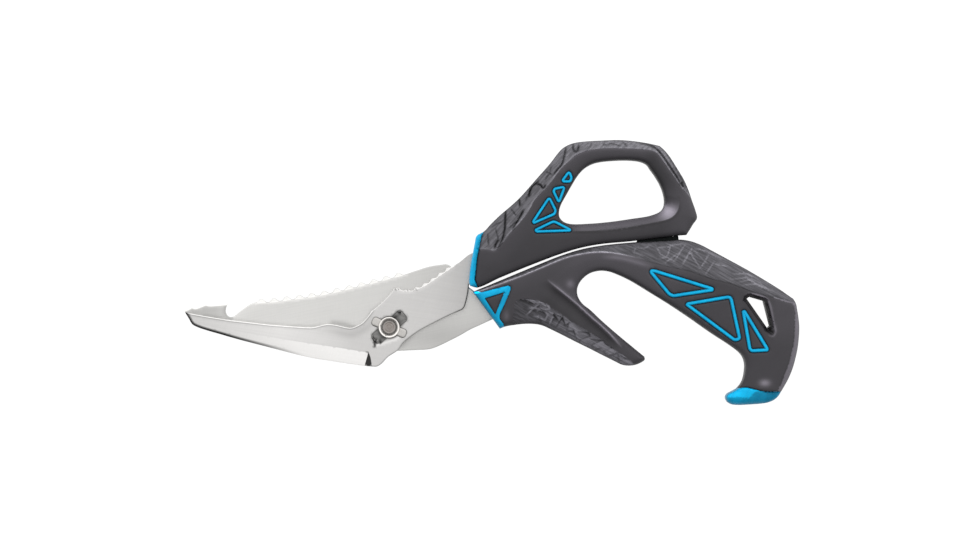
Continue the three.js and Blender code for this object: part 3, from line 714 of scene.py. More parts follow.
washer_points, washer_faces = lathe([
    (3.02, washer_high), (3.02, washer_low + 0.15), (3.2, washer_low), (5.9, washer_low),
    (6.35, washer_low + 0.12), (6.5, washer_low + 0.4), (6.5, washer_high), (3.02, washer_high),
])
washer_faces = [face[::-1] for face in washer_faces[:-2]]  # a ring has no end faces
back_washer = made("peening_washer", washer_points, washer_faces, stud_steel, crisp=32)
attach(back_washer, "rear_half")
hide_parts("pivot_back_washer")


# ---------------------------------------------------------------------------------------------------------
# Upper handle: a stiff glass-filled nylon body moulded round the front tang, with the thumb loop, a softer
# pad moulded on its outside, and a blue bolster at its front. The three meet in parting grooves.
NYLON_EDGE = 2.0  # rounding of the handles' edges
HANDLE_SPACING = 0.85  # between the spots on a handle's flat
CREST = 8.72  # half thickness of the flat of a handle; ridges and inlays stand a little higher
upper_low, upper_high = heights("upper_handle")
HANDLE_MIDDLE = (upper_low + upper_high) / 2

upper_front = curve((34.6, 36.2), (33.9, 35.3), (33.6, 33.9), (31.7, 23.2), (31.3, 18), (31.6, 16.2))
upper_under = curve(
    (31.6, 16.2), (34.3, 15.6), (43.3, 19.5), (51.3, 22.8), (58.9, 25.8), (66.7, 28.7), (74.6, 31.1),
    (82.4, 32.6), (94.9, 33.8), (109.8, 35.6), (116, 36.1))
upper_heel = curve(
    (116, 36.1), (117.2, 38), (118.6, 40.3), (120.1, 42.6), (119.4, 45.9), (118.3, 49), (116.6, 54),
    (115, 57.6), (112.7, 61.5), (109.1, 67.1), (107.1, 69.4), (105.5, 70.8))
upper_top = curve(
    (105.5, 70.8), (101.5, 71.7), (98, 72.3), (94.1, 72.8), (89.2, 73.1), (83.4, 72.9), (77.4, 72.6),
    (73, 72.1), (70, 71.2), (67.4, 69.6), (65.2, 67.1), (63.1, 64.3), (57.4, 57.8), (50.4, 50),
    (43, 43.5), (39.6, 40.2), (37.2, 37.6), (34.6, 36.2))
upper_under[4:-8] += (0.03, -0.1)  # narrows the gap between the closed handles
upper_rim = joined(upper_front, upper_under, upper_heel, upper_top)
thumb_loop = curve(
    (78.5, 40.5), (70.4, 40.4), (67.8, 41.4), (66.4, 43.2), (66.4, 45.8), (67.2, 48.2), (68.7, 50.9),
    (70.9, 54.8), (73, 58.3), (74.6, 60.4), (76.5, 62.2), (79.1, 63.7), (82.4, 64.6), (89.2, 65.2),
    (94.1, 65.2), (98, 64.7), (100.6, 63.5), (101.9, 61.7), (103.9, 58.9), (105.8, 55.6), (107.1, 52),
    (107.5, 49), (107, 46.6), (105.8, 45.2), (101.9, 43.6), (94.1, 42.3), (86.3, 41.2), closed=True)
upper_bolster_line = line((37.6, 39), (36.1, 35.2), (34.4, 27.4), (33.5, 18.7), (34.9, 14.4))
upper_crease = curve(
    (34.2, 30.5), (38.2, 30.4), (41.1, 29.9), (42.6, 31.3), (44.8, 33.7), (47, 36.5), (50, 39.8),
    (53.1, 43.5), (55.2, 46.7), (56.5, 49.3), (59.2, 52.3), (61.7, 54.8), (64.4, 58.3), (66.5, 61.3),
    (68.7, 63.6), (70.9, 65.4), (73, 67.2), (76.5, 68.7), (81.6, 69.6), (86.3, 69.9), (90.2, 69.8),
    (98, 69.5), (101.9, 69), (104.3, 68), (107.1, 64.6), (109.1, 61.6), (111, 59), (114, 54.5),
    (117.5, 50.8), (121, 48.5))
flare_line = curve(
    (69, 37.4), (72.1, 37.5), (78.5, 37.6), (85.3, 38), (95.1, 39.3), (102.5, 40.7), (107.4, 41.7),
    (110.3, 42.9), (112.3, 45), (113.2, 47.6), (113.4, 50.5), step=1.0)
pad_cracks = [
    curve((45.5, 45.6), (45.4, 42), (45.3, 38.9), (45.1, 37.5), (44.2, 34), (42.8, 31.4)),
    curve((52.4, 45.6), (51.1, 42.9), (49.6, 40.2), (48.2, 38.1)),
    curve((58.2, 56.9), (57.4, 56), (56.3, 55.1), (55, 53.1), (54.6, 51)),
    curve((57.4, 56), (59, 55.6), (59.8, 54.6), (60.4, 54.3), (60.8, 55.4)),
    curve((68.9, 70.1), (68.6, 67.5), (68, 65), (67.2, 62.9), (65.4, 61), (64.4, 59.8)),
    curve((71.8, 71.4), (71.9, 69.4), (72.6, 68.4), (73.4, 68.9), (73.9, 71)),
    curve((42.4, 34), (41.2, 30.8)),
    curve((50.2, 50.6), (50.9, 49.6), (51.1, 48.2), (50.8, 47.4)),
    curve((97.6, 72.2), (101.9, 70.9), (104.6, 69.3), (106.2, 67.4), (108.5, 64.2), (110.4, 61.2),
          (112.6, 57.6), (113.6, 55.4)),
    curve((114, 56.6), (114.6, 54.6)),
]
pad_scores = [
    curve((40, 39), (43.5, 41)), curve((47.6, 46), (49.5, 43.6)), curve((61.2, 60.6), (63.6, 59.4)),
    curve((79, 72), (78.2, 70.4)), curve((84.3, 72.6), (83.4, 71), (86.5, 71.4), (90.2, 70.6)),
    curve((91, 72.4), (92.5, 70.6)), curve((46.8, 38.6), (50.2, 41.6)), curve((38.4, 36.6), (38.9, 31.6)),
    curve((55.6, 54), (53.2, 49.6)), curve((63.4, 63), (62.6, 60.4), (60.8, 57.4)),
    curve((107.9, 68), (110.5, 63.9), (113.4, 58.9), (115.2, 55.4)), curve((41.6, 38.2), (42.9, 33.4)),
]


def left_of(run):
    """The side of an open run that lies to its left, as a closed outline that reaches past the handle."""
    far = 300
    start = run[0] + far * (run[0] - run[1]) / np.linalg.norm(run[0] - run[1])
    end = run[-1] + far * (run[-1] - run[-2]) / np.linalg.norm(run[-1] - run[-2])
    way = (end - start) / np.linalg.norm(end - start)
    across = far * np.array([-way[1], way[0]])
    return np.vstack([start, run, end, end + across, start + across])


def edge_rows(*loops):
    """Guides that let a handle's rounded edge be smooth."""
    rows = tuple(NYLON_EDGE * share for share in (0.07, 0.28, 0.6, 1.0, 1.5))
    return [(loop, True, rows) for loop in loops]


def groove_rows(*runs, half=0.5):
    """Guides on both sides of grooves of a half width."""
    return [(run, False, (-half, -half / 2, half / 2, half)) for run in runs]


def run_length(run):
    """The length of an open run."""
    return np.linalg.norm(np.diff(run, axis=0), axis=1).sum()


def crack_depth(spots, runs, depth, half):
    """The depth of narrow grooves that run out at their ends."""
    total = np.zeros(len(spots))
    for run in runs:
        gap, _, along = nearest(spots, run)
        length = run_length(run)
        taper = np.clip(np.minimum(along, length - along) / (0.22 * length) + 0.35, 0, 1)
        total = np.maximum(total, depth * taper * np.clip(1 - (gap / half) ** 2, 0, 1))
    return total


def scarp(spots, runs, height, reach):
    """Broken facets: each run's left side is lifted and its right side let down, less with distance."""
    total = np.zeros(len(spots))
    for run in runs:
        gap, side, along = nearest(spots, run)
        length = run_length(run)
        taper = rise(np.minimum(along, length - along), 0, 0.35 * length)
        total += height * taper * np.clip(side / 0.3, -1, 1) * np.exp(-gap / reach)
    return total


def corner_cut(corners, width):
    """The middle line of an inlay: a closed outline moved in by half its width, with round corners."""
    corners = np.array(corners, float)
    before, after = np.roll(corners, 1, 0), np.roll(corners, -1, 0)
    a = (corners - before) / np.linalg.norm(corners - before, axis=1)[:, None]
    b = (after - corners) / np.linalg.norm(after - corners, axis=1)[:, None]
    inward = np.column_stack([-(a[:, 1] + b[:, 1]), a[:, 0] + b[:, 0]])
    inner = corners + inward * (width / 2 / (1 + np.sum(a * b, axis=1)))[:, None]
    before, after = np.roll(inner, 1, 0), np.roll(inner, -1, 0)
    run = []
    for i, point in enumerate(inner):
        back, ahead = before[i] - point, after[i] - point
        cut = min(width * 1.1, 0.42 * np.linalg.norm(back), 0.42 * np.linalg.norm(ahead))
        start = point + back / np.linalg.norm(back) * cut
        end = point + ahead / np.linalg.norm(ahead) * cut
        run += [(1 - t) ** 2 * start + 2 * t * (1 - t) * point + t * t * end for t in np.linspace(0, 1, 7)]
    return joined(line(*run, run[0], step=0.6))


def inlay_groove(gap, width):
    """The depth of the groove that an inlay lies in."""
    return 0.5 * np.clip(1 - (gap / (width / 2 + 0.35)) ** 6, 0, 1)


UPPER_INLAY = 1.1  # width
upper_inlays = [corner_cut(corners, UPPER_INLAY) for corners in (
    [(66.2, 56.3), (71, 56.3), (71.7, 58.4), (70.3, 61.8)],
    [(65.6, 48.6), (66.8, 48.8), (69.3, 55.5), (64.2, 54.5), (63.5, 53)],
    [(56.2, 40), (64.9, 43.8), (65.5, 45.6), (62.5, 51.7), (55.6, 41.3)],
    [(57.2, 36.8), (73.2, 37.3), (64.2, 42), (56.4, 38.2)],
)]
upper_cuts = [upper_crease, upper_bolster_line]
upper_guides = [
    *edge_rows(upper_rim, thumb_loop),
    *groove_rows(upper_crease, upper_bolster_line, half=0.7),
    *groove_rows(*pad_cracks, half=0.45),
    *groove_rows(*pad_scores, half=0.4),
    *[(loop, True, (-1.1, -0.75, -0.5, 0, 0.5, 0.75, 1.1)) for loop in upper_inlays],
    (flare_line, False, (-0.6, -0.2, 0.05, 0.3, 0.6)),
]
upper_pad_side, upper_bolster_side = left_of(upper_crease), left_of(upper_bolster_line[::-1])
upper_flare = np.vstack([flare_line, [(105, 52), (100, 50), (76, 46), (69, 43)]])


def tapered(spots, run, share=0.25):
    """How far each spot is from a run, its side, and a weight that fades at the run's two ends."""
    gap, side, along = nearest(spots, run)
    length = run_length(run)
    return gap, side, rise(np.minimum(along, length - along), 0, share * length)


def upper_relief(spots):
    """The upper handle's half thickness and its tone at each spot."""
    x, y = spots.T
    rim = np.minimum(nearest(spots, upper_rim, True)[0], nearest(spots, thumb_loop, True)[0])
    crease = nearest(spots, upper_crease)[0]
    on_pad = inside(spots, upper_pad_side) | (crease < 0.02)
    bolster = nearest(spots, upper_bolster_line)[0]
    on_bolster = inside(spots, upper_bolster_side)
    ring = np.min([nearest(spots, loop, True)[0] for loop in upper_inlays], axis=0)
    flare, _, flare_in = tapered(spots, flare_line, 0.12)
    in_flare = inside(spots, upper_flare)
    scoop_highlight = bell(np.hypot(x - 109, y - 45.5), 3.4)
    cracks = crack_depth(spots, pad_cracks, 0.75, 0.5)
    scores = crack_depth(spots, pad_scores, 0.36, 0.38)

    # Shape: the rounded edge, the bolster's band, the pad, the parting grooves, the flare round the thumb
    # loop, and the grooves of the inlays.
    half = np.where(on_bolster, CREST + 0.2, CREST) - rounding(rim, NYLON_EDGE)
    half -= 0.8 * rise(rim, 9, -9) ** 2 * ~on_bolster
    half -= np.where(on_bolster, rounding(np.minimum(rim, bolster), 1.1), 0)
    half -= on_pad * (0.14 * np.clip(crease, 0, 8) + cracks + scores)
    half += on_pad * scarp(spots, pad_cracks, 0.26, 2.0)
    half -= 0.35 * bell(crease, 0.3) + 0.45 * bell(bolster, 0.3)
    half -= flare_in * in_flare * (0.42 * np.clip(flare, 0, 6) + 0.12 * bell(flare - 0.3, 0.4))
    half -= inlay_groove(ring, UPPER_INLAY)

    # Tone of the nylon: painted light along the crease, where the surface turns up, painted highlights in
    # the flare, its scoop and at the heel, and painted shade at the heel's top and under the flare's edge.
    body = 1.1 - 0.3 * rise(crease, 0, 7) + 0.3 * (y > 60) * rise(crease, 3.5, -3.5)
    body += flare_in * in_flare * (1.3 + 7.5 * scoop_highlight) * rise(flare, 0, 0.3)
    body += 0.3 * rise(x, 106, 6) * (y < 60) * ~in_flare - 0.42 * rise(x, 99, 4) * rise(y, 50, 6)
    body -= 0.4 * flare_in * bell(flare - 0.35, 0.45) * ~in_flare

    # Tone of the pad: a painted highlight along the crease and over its top, and painted shade in the
    # cracks and scores, with a painted highlight on the lifted lip of each crack.
    pad = 1.05 + 1.2 * bell(crease - 0.2, 0.35) - 0.95 * rise(cracks, 0, 0.3)
    pad += 0.9 * np.clip(scarp(spots, pad_cracks, 1, 0.55), 0, 1) - 0.45 * rise(scores, 0, 0.15)
    pad += 0.4 * rise(y, 60, 6) - 0.1 * rise(x, 104, 5)
    # Painted shade in the bolster's parting groove and the inlays' grooves, and along the rounded edge.
    tone = np.where(on_pad, np.maximum(pad, 0.1), body) - 0.4 * bell(bolster, 0.35) * ~on_bolster
    tone -= 0.5 * (ring < UPPER_INLAY / 2 + 0.45)
    tone *= 1 - 0.55 * bell(rim, 0.35)
    return np.minimum(half, HANDLE_MIDDLE), tone


upper_spots, upper_faces = triangulated([upper_rim, thumb_loop], upper_cuts, upper_guides, HANDLE_SPACING)
upper_half, upper_tone = upper_relief(upper_spots)
face_middles = upper_spots[upper_faces].mean(1)
face_on_bolster = inside(face_middles, upper_bolster_side)
face_on_pad = inside(face_middles, upper_pad_side) & ~face_on_bolster


def moulded(name, spots, faces, half, tone, finish):
    """A moulding that is the same on both faces of its handle."""
    points, skin, shade = slab(spots, faces, HANDLE_MIDDLE + half, HANDLE_MIDDLE - half, tone)
    return made(name, points, skin, finish, shade, crisp=50)


def nylon(name, colour):
    """Glass-filled nylon with a satin spark-eroded grain and broad patches that are a little rougher."""
    finish = Finish(name)
    cloud, grain, speck = finish.grain(14, 3), finish.grain(0.35, 3), finish.grain(0.16, 2)
    rub = finish.contrast(finish.grain(9, 4, (2, 1, 1), 30), 0.35, 0.7)
    brightness = finish.tone() * (0.86 + 0.2 * cloud + 0.14 * grain)
    finish.surface(
        Base_Color=finish.shaded(colour, brightness),
        Roughness=(0.42 + 0.14 * grain + 0.1 * rub).held(),
        Specular_IOR_Level=0.4,
        Normal=finish.bumped(grain * 0.6 + speck * 0.4, 0.03),
    )
    return finish


def soft_grip(name, colour, turn):
    """Soft overmould: matt, pebbled, and scored with fine lines that run along the handle."""
    finish = Finish(name)
    cloud, pebble = finish.grain(7, 4), finish.grain(0.5, 4)
    lines = finish.contrast(finish.grain(0.75, 3, (11, 1, 1), turn), 0.33, 0.67)
    dust = finish.contrast(finish.grain(2.2, 5), 0.5, 0.8)
    brightness = finish.tone() * (0.5 + 0.34 * cloud + 0.6 * lines + 0.15 * dust)
    finish.surface(
        Base_Color=finish.shaded(colour, brightness),
        Roughness=(0.6 + 0.2 * pebble).held(),
        Specular_IOR_Level=0.3,
        Normal=finish.bumped(pebble * 0.35 + lines * 0.65, 0.13),
    )
    return finish


def blue_plastic(name, colour, deep):
    """Blue moulding: satin, a deeper blue in soft clouds, with faint flow marks from the gate."""
    finish = Finish(name)
    cloud, flow, grain = finish.grain(5, 3), finish.grain(1.6, 3, (5, 1, 1), 60), finish.grain(0.3, 3)
    mixed = finish.contrast(cloud * 0.6 + flow * 0.4, 0.3, 0.68)
    finish.surface(
        Base_Color=finish.shaded(finish.blend(mixed, deep, colour), finish.tone()),
        Roughness=(0.3 + 0.12 * grain + 0.08 * cloud).held(),
        Specular_IOR_Level=0.16,
        Coat_Weight=0.03,
        Normal=finish.bumped(grain * 0.7 + flow * 0.3, 0.02),
    )
    return finish


body_nylon = nylon("handle_nylon", paint(44, 42, 46))
upper_rubber = soft_grip("upper_pad_rubber", paint(76, 75, 79), 47)
trim_blue = blue_plastic("trim_blue", paint(0, 142, 182), paint(0, 124, 164))

# The band's tone: a painted highlight that grows away from its parting line, and painted shade along the
# rounded edge.
band_tone = 0.9 + 1.3 * rise(nearest(upper_spots, upper_bolster_line)[0], 0.84, 2.4)
band_tone -= 0.3 * bell(nearest(upper_spots, upper_rim, True)[0], 0.3)
face_on_core = ~(face_on_pad | face_on_bolster)
for name, node, zone, tone, finish, finish_slot in (
    ("upper_handle_body", "upper_handle", face_on_core, upper_tone, body_nylon, "handle_nylon"),
    ("upper_handle_pad", "upper_grip", face_on_pad, upper_tone, upper_rubber, "soft_grip"),
    ("upper_blue_bolster", "upper_bolster", face_on_bolster, band_tone, trim_blue, "blue_trim"),
):
    part = moulded(name, upper_spots, upper_faces[zone], upper_half, tone, finish)
    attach(part, "front_half")
    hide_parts(node)


# ---------------------------------------------------------------------------------------------------------
# Upper inlays: four blue triangular rings on each face, moulded into grooves beside the thumb loop.
# Each is a low rounded bead that stands just proud of the nylon.
# The bead's tone is a painted highlight along its crest and painted shade down to its foot.
BEAD = [  # across its width: the place as a share of it, the lift in millimetres and the tone
    (-0.5, -1.1, 0.5), (-0.5, -0.16, 0.55), (-0.38, 0.06, 0.75), (-0.2, 0.17, 1.1), (0, 0.21, 1.25),
    (0.2, 0.17, 1.1), (0.38, 0.06, 0.75), (0.5, -0.16, 0.55), (0.5, -1.1, 0.5),
]


def bead(loop, width, relief):
    """A closed bead along a loop: a rounded top on the front face, with its foot down in its groove."""
    level = relief(loop)[0] + 0.5
    x, y = headings(loop, True).T
    left = np.column_stack([-y, x])
    points, faces, count = [], [], len(BEAD)
    for spot, aside, height in zip(loop, left, level):
        points += [(*(spot + aside * share * width), HANDLE_MIDDLE + min(height + lift, HANDLE_MIDDLE))
                   for share, lift, _ in BEAD]
    for i in range(len(loop)):
        j = (i + 1) % len(loop)
        for k in range(count):
            m = (k + 1) % count
            faces.append((j * count + k, j * count + m, i * count + m, i * count + k))
    return np.array(points), faces, np.tile([tone for *_, tone in BEAD], len(loop))


def inlay_pair(kind, number, loop, width, relief, body):
    """The same bead on the front and, mirrored, on the back."""
    points, faces, shade = bead(loop, width, relief)
    mirrored = points * [1, 1, -1] + [0, 0, 2 * HANDLE_MIDDLE]
    back_faces = [face[::-1] for face in faces]
    for side, where, skin in (("front", points, faces), ("back", mirrored, back_faces)):
        inlay = made(f"{kind}_bead_{number}_{side}", where, skin, trim_blue, shade, crisp=60)
        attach(inlay, body)
        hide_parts(f"{kind}_inlay_{number}_{side}")


for number, loop in enumerate(upper_inlays, 1):
    inlay_pair("upper", number, loop, UPPER_INLAY, upper_relief, "front_half")


# ---------------------------------------------------------------------------------------------------------
# Lower handle: the same nylon, moulded round the rear tang, with the finger space behind its prong, a hook
# at the tail and a lanyard hole. Soft pads are moulded along its top and under the prong, and blue trim at
# its two ends.
LOWER_INLAY = 1.38  # width
lower_front = line((32.7, 13.9), (43.2, -0.5))
prong_under = curve(
    (43.2, -0.5), (45.2, 0.3), (49.1, 1), (53.1, 1.4), (57, 1.3), (59.9, 0.7), (62.8, -0.6),
    (66.7, -2.5), (72.6, -5.5), (78.5, -8.4), (82.4, -10.4), (88.2, -13.3), (90.7, -14.5),
    (93.1, -14.9), (96, -14.6), (98.4, -13.6), (99.7, -12.6), (99.6, -11.4))
finger_space = curve(
    (99.6, -11.4), (94.1, -6.9), (88.2, -2), (82.4, 3.1), (78.5, 6.8), (75.5, 9.2), (73.8, 11.7),
    (73.3, 14.1), (73.8, 16.5), (75.5, 19), (78.5, 21.2), (82.4, 22.1), (85.8, 21.8), (89.7, 20.4),
    (94.1, 18.3), (101.9, 13.6), (109.8, 8.7), (118, 3.2), (125.4, -2), (133.2, -7.1), (136.7, -9.8),
    (138.2, -11.8), (138.9, -14.2), (138.9, -16.6), (138.1, -20.6), (137, -22.6), (135.7, -24))
hook = curve(
    (135.7, -24), (133.9, -25), (132.2, -25.9), (131.4, -27.2), (131.8, -28.8), (133, -29.8),
    (135, -30.2), (140, -30.1), (147.8, -29.3), (150.6, -28), (152.1, -26.5), (153.2, -24.5))
tail = curve(
    (153.2, -24.5), (155.6, -20.3), (157.4, -16), (158.6, -11.7), (159.5, -7.1), (160, 0), (159.7, 3.6),
    (159.2, 6.8), (158.7, 9.3), (157.6, 11.2))
lower_top = curve(
    (157.6, 11.2), (155.7, 12.5), (152.8, 14.5), (141, 21.7), (129.3, 28.1), (125.4, 30.2),
    (121.5, 32.2), (117.6, 33.6), (113.7, 34.2), (109.8, 34), (101.9, 33.5), (94.9, 33.1), (82.4, 31.8),
    (74.6, 30.3), (66.7, 27.8), (58.9, 24.7), (43.3, 18.2), (36, 15.2), (32.7, 13.9))
lower_top[8:-4] += (-0.02, 0.06)  # the other side of the gap
lower_rim = joined(lower_front, prong_under, finger_space, hook, tail, lower_top)
lanyard_hole = joined(line((139.4, 11.2), (140.4, 12), (146.2, 10.3), (148.7, 0.6), (147.6, -0.5),
                           (139.4, 11.2)))
lower_crease = curve(
    (32, 12.9), (36, 14.3), (43.3, 16.9), (51.1, 19.8), (58.9, 23), (63.8, 25.1), (68.7, 27),
    (73.6, 28.3), (78.5, 29.1), (82.4, 29.3), (86.3, 29.1), (90.2, 28.5), (94.1, 27.7), (98, 26.8),
    (101.9, 25.4), (109.8, 23.4), (117.6, 21.7), (125.4, 18.9), (133.2, 17), (137.1, 15.5),
    (144.9, 12.9), (151, 11.4), (158.2, 9.6), (164, 8))
second_ridge = curve((82.4, 27.5), (90.2, 26.9), (98, 24.9), (103.5, 23.3))
guard_crease = curve(
    (47.5, -4), (48.2, 2), (49.2, 9.6), (51, 11.1), (57, 10.6), (60.9, 9.5), (63.2, 7.7), (66.7, 5.3),
    (69.7, 3.3), (73.6, 0.9), (78.5, -2), (82.4, -4.5), (86.3, -7.4), (90.2, -9.9), (94.1, -12.9),
    (98, -17))
cap_line = curve(
    (129, -21.8), (134.6, -23.4), (136.4, -23.6), (139.3, -23.4), (142.8, -24.2), (146.4, -24.9),
    (151.4, -25), (158, -25.4))
prong_ridge = curve(
    (61.5, 19), (63.2, 17.4), (66.7, 14.6), (72.6, 9.7), (78.5, 4.3), (82.4, 0.9), (85.9, -2.4),
    (91, -8))
tail_rim = curve(
    (153.5, 10.4), (157.2, 9.2), (158.1, 7), (158.1, 0.7), (157.6, -6.4), (156, -13.5), (153.5, -20.2),
    (151.6, -24.4))
frame_outer = joined(line((33.2, 14.3), (31.9, 13.7), (42.9, -1.2), (45.2, 0.1), (44.6, 1.4)),
                     curve((44.6, 1.4), (43.1, 3.9), (45.3, 9.6), (47.4, 15), (47.2, 16), (46.2, 16.3)),
                     line((46.2, 16.3), (36, 13.7), (33.2, 14.3)))
frame_window = joined(line((37.4, 11.3), (41.4, 5), (44.9, 13.7), (37.4, 11.3), step=0.8))
cap_facet = line((144.4, -24), (140.2, -27.3), (130.8, -27.1))
hole_pocket = curve((147.2, 0.6), (148, -1.2), (149.2, -2.2), step=0.4)
hole_border = curve(
    (138.4, 12.2), (139.6, 13.1), (147.2, 11), (149.8, 2), (150.6, -1.6), (149.6, -3.4), (147.4, -2.8))
top_shards = [
    line((96.2, 31.6), (95.4, 29.2), (99.3, 27.8)), line((96.4, 31.2), (99.3, 30.7), (101.6, 31.9)),
    line((104, 31.6), (105.8, 28.5), (111.2, 26), (115.4, 32.4)),
    line((104.7, 31), (109.7, 31.4), (108.3, 27.4), (105.4, 26.7)), line((109, 31.8), (114.3, 32.5)),
    line((114.1, 24.2), (118.1, 30.9), (123.5, 29.9), (129.7, 26.7)),
    line((115.2, 27.8), (117.4, 28.9), (121.3, 23.1), (125, 28.9)), line((123.3, 20.7), (126.4, 25.2)),
    line((118.8, 29.9), (124.4, 24.5)), line((133.6, 18.7), (139.4, 19.4), (143.8, 16.6), (149.6, 14)),
    line((138.3, 16.6), (143.8, 16.9)), line((140.9, 19.6), (147.4, 15.1)),
    line((136.5, 17.6), (140.9, 18.7), (145.2, 17.3)), line((127, 24.8), (131.6, 23.8)),
    line((134.6, 20.8), (139.6, 20.9), (144.2, 18.6)), line((107.6, 25.2), (112.4, 28.8)),
]
guard_shards = [
    line((48.2, 11.4), (53.1, 11.2), (56, 9.9), (58.9, 9.4), (60.9, 8.5)),
    line((49.6, 12.1), (54.5, 11.4), (57, 9.9)),
    line((52.6, 13.4), (58, 11.6)), line((54, 5.3), (56, 7.2), (58.9, 9.4), (61.4, 9.6), (62.6, 7.4)),
    line((55, 7.5), (59.4, 7.2), (61.9, 5.3), (60.9, 2.8)), line((58, 6.8), (62.6, 7.2)),
    line((56.6, 4.4), (60.9, 2.8)), line((62.8, 5.8), (66.8, 4.3), (69.7, 2.4)),
    line((65.3, 0.4), (67.7, 4.3), (68.7, 0.9), (70.2, 1.9), (69.2, -1.6)),
    line((69.2, -1.6), (72.1, -1.1), (73.1, -4.6)), line((73.6, -1.6), (78, -2), (78.5, -3.5), (74.1, -5)),
    line((74.1, -5), (75, -6.9), (77.5, -7.6)), line((78.5, -4.5), (83.2, -5.1), (78.7, -6.9)),
    line((78.7, -6.9), (80.5, -8.4), (82.4, -8.2)), line((83.6, -5.7), (87.3, -7.9), (83.4, -9.4)),
    line((83.4, -9.4), (85.4, -10.9), (89.3, -9.9)), line((89.3, -10.4), (89.8, -13.3)),
    line((89.8, -10.9), (93.6, -12.7)), line((62.6, 1.6), (64.2, 4.6)), line((64.2, 5.2), (66.2, 2.4)),
]
lower_inlays = [corner_cut(corners, LOWER_INLAY) for corners in (
    [(101.6, 21), (108.8, 12.4), (110.7, 11.6), (126.6, 14), (126.5, 15.6), (103.6, 22.7), (101.4, 22.7)],
    [(114.9, 8.9), (134.6, -5.7), (137.4, -4.8), (133.6, 12.8), (116.4, 9.9)],
    [(137.2, 6.8), (139.9, -8.5), (141, -9.8), (148.1, -9.4), (147.8, -7.8), (138.9, 6.8)],
)]
lower_guides = [
    *edge_rows(lower_rim),
    (lanyard_hole, True, (-1.3, -0.9, -0.5, -0.2)),
    *groove_rows(lower_crease, guard_crease, cap_line, half=0.7),
    *groove_rows(hole_pocket, hole_border, half=0.5),
    (frame_outer, True, (-0.5, -0.2, 0, 0.2, 0.5, 0.9)),
    (frame_window, True, (-0.9, -0.5, -0.2, 0, 0.2, 0.5)),
    *groove_rows(*top_shards, *guard_shards, half=0.42),
    *[(loop, True, (-1.25, -0.9, -0.6, 0, 0.6, 0.9, 1.25)) for loop in lower_inlays],
    (prong_ridge, False, (-1.2, -0.5, 0, 0.5, 1.2)),
    (tail_rim, False, (-0.8, -0.3, 0, 0.3, 0.8)),
    (second_ridge, False, (-0.8, 0, 0.8)),
    (cap_facet, False, (-0.4, 0, 0.4)),
]
top_pad_side, guard_side = left_of(lower_crease), left_of(guard_crease[::-1])
cap_side = np.vstack([cap_line, [(158, -40), (125, -40)]])


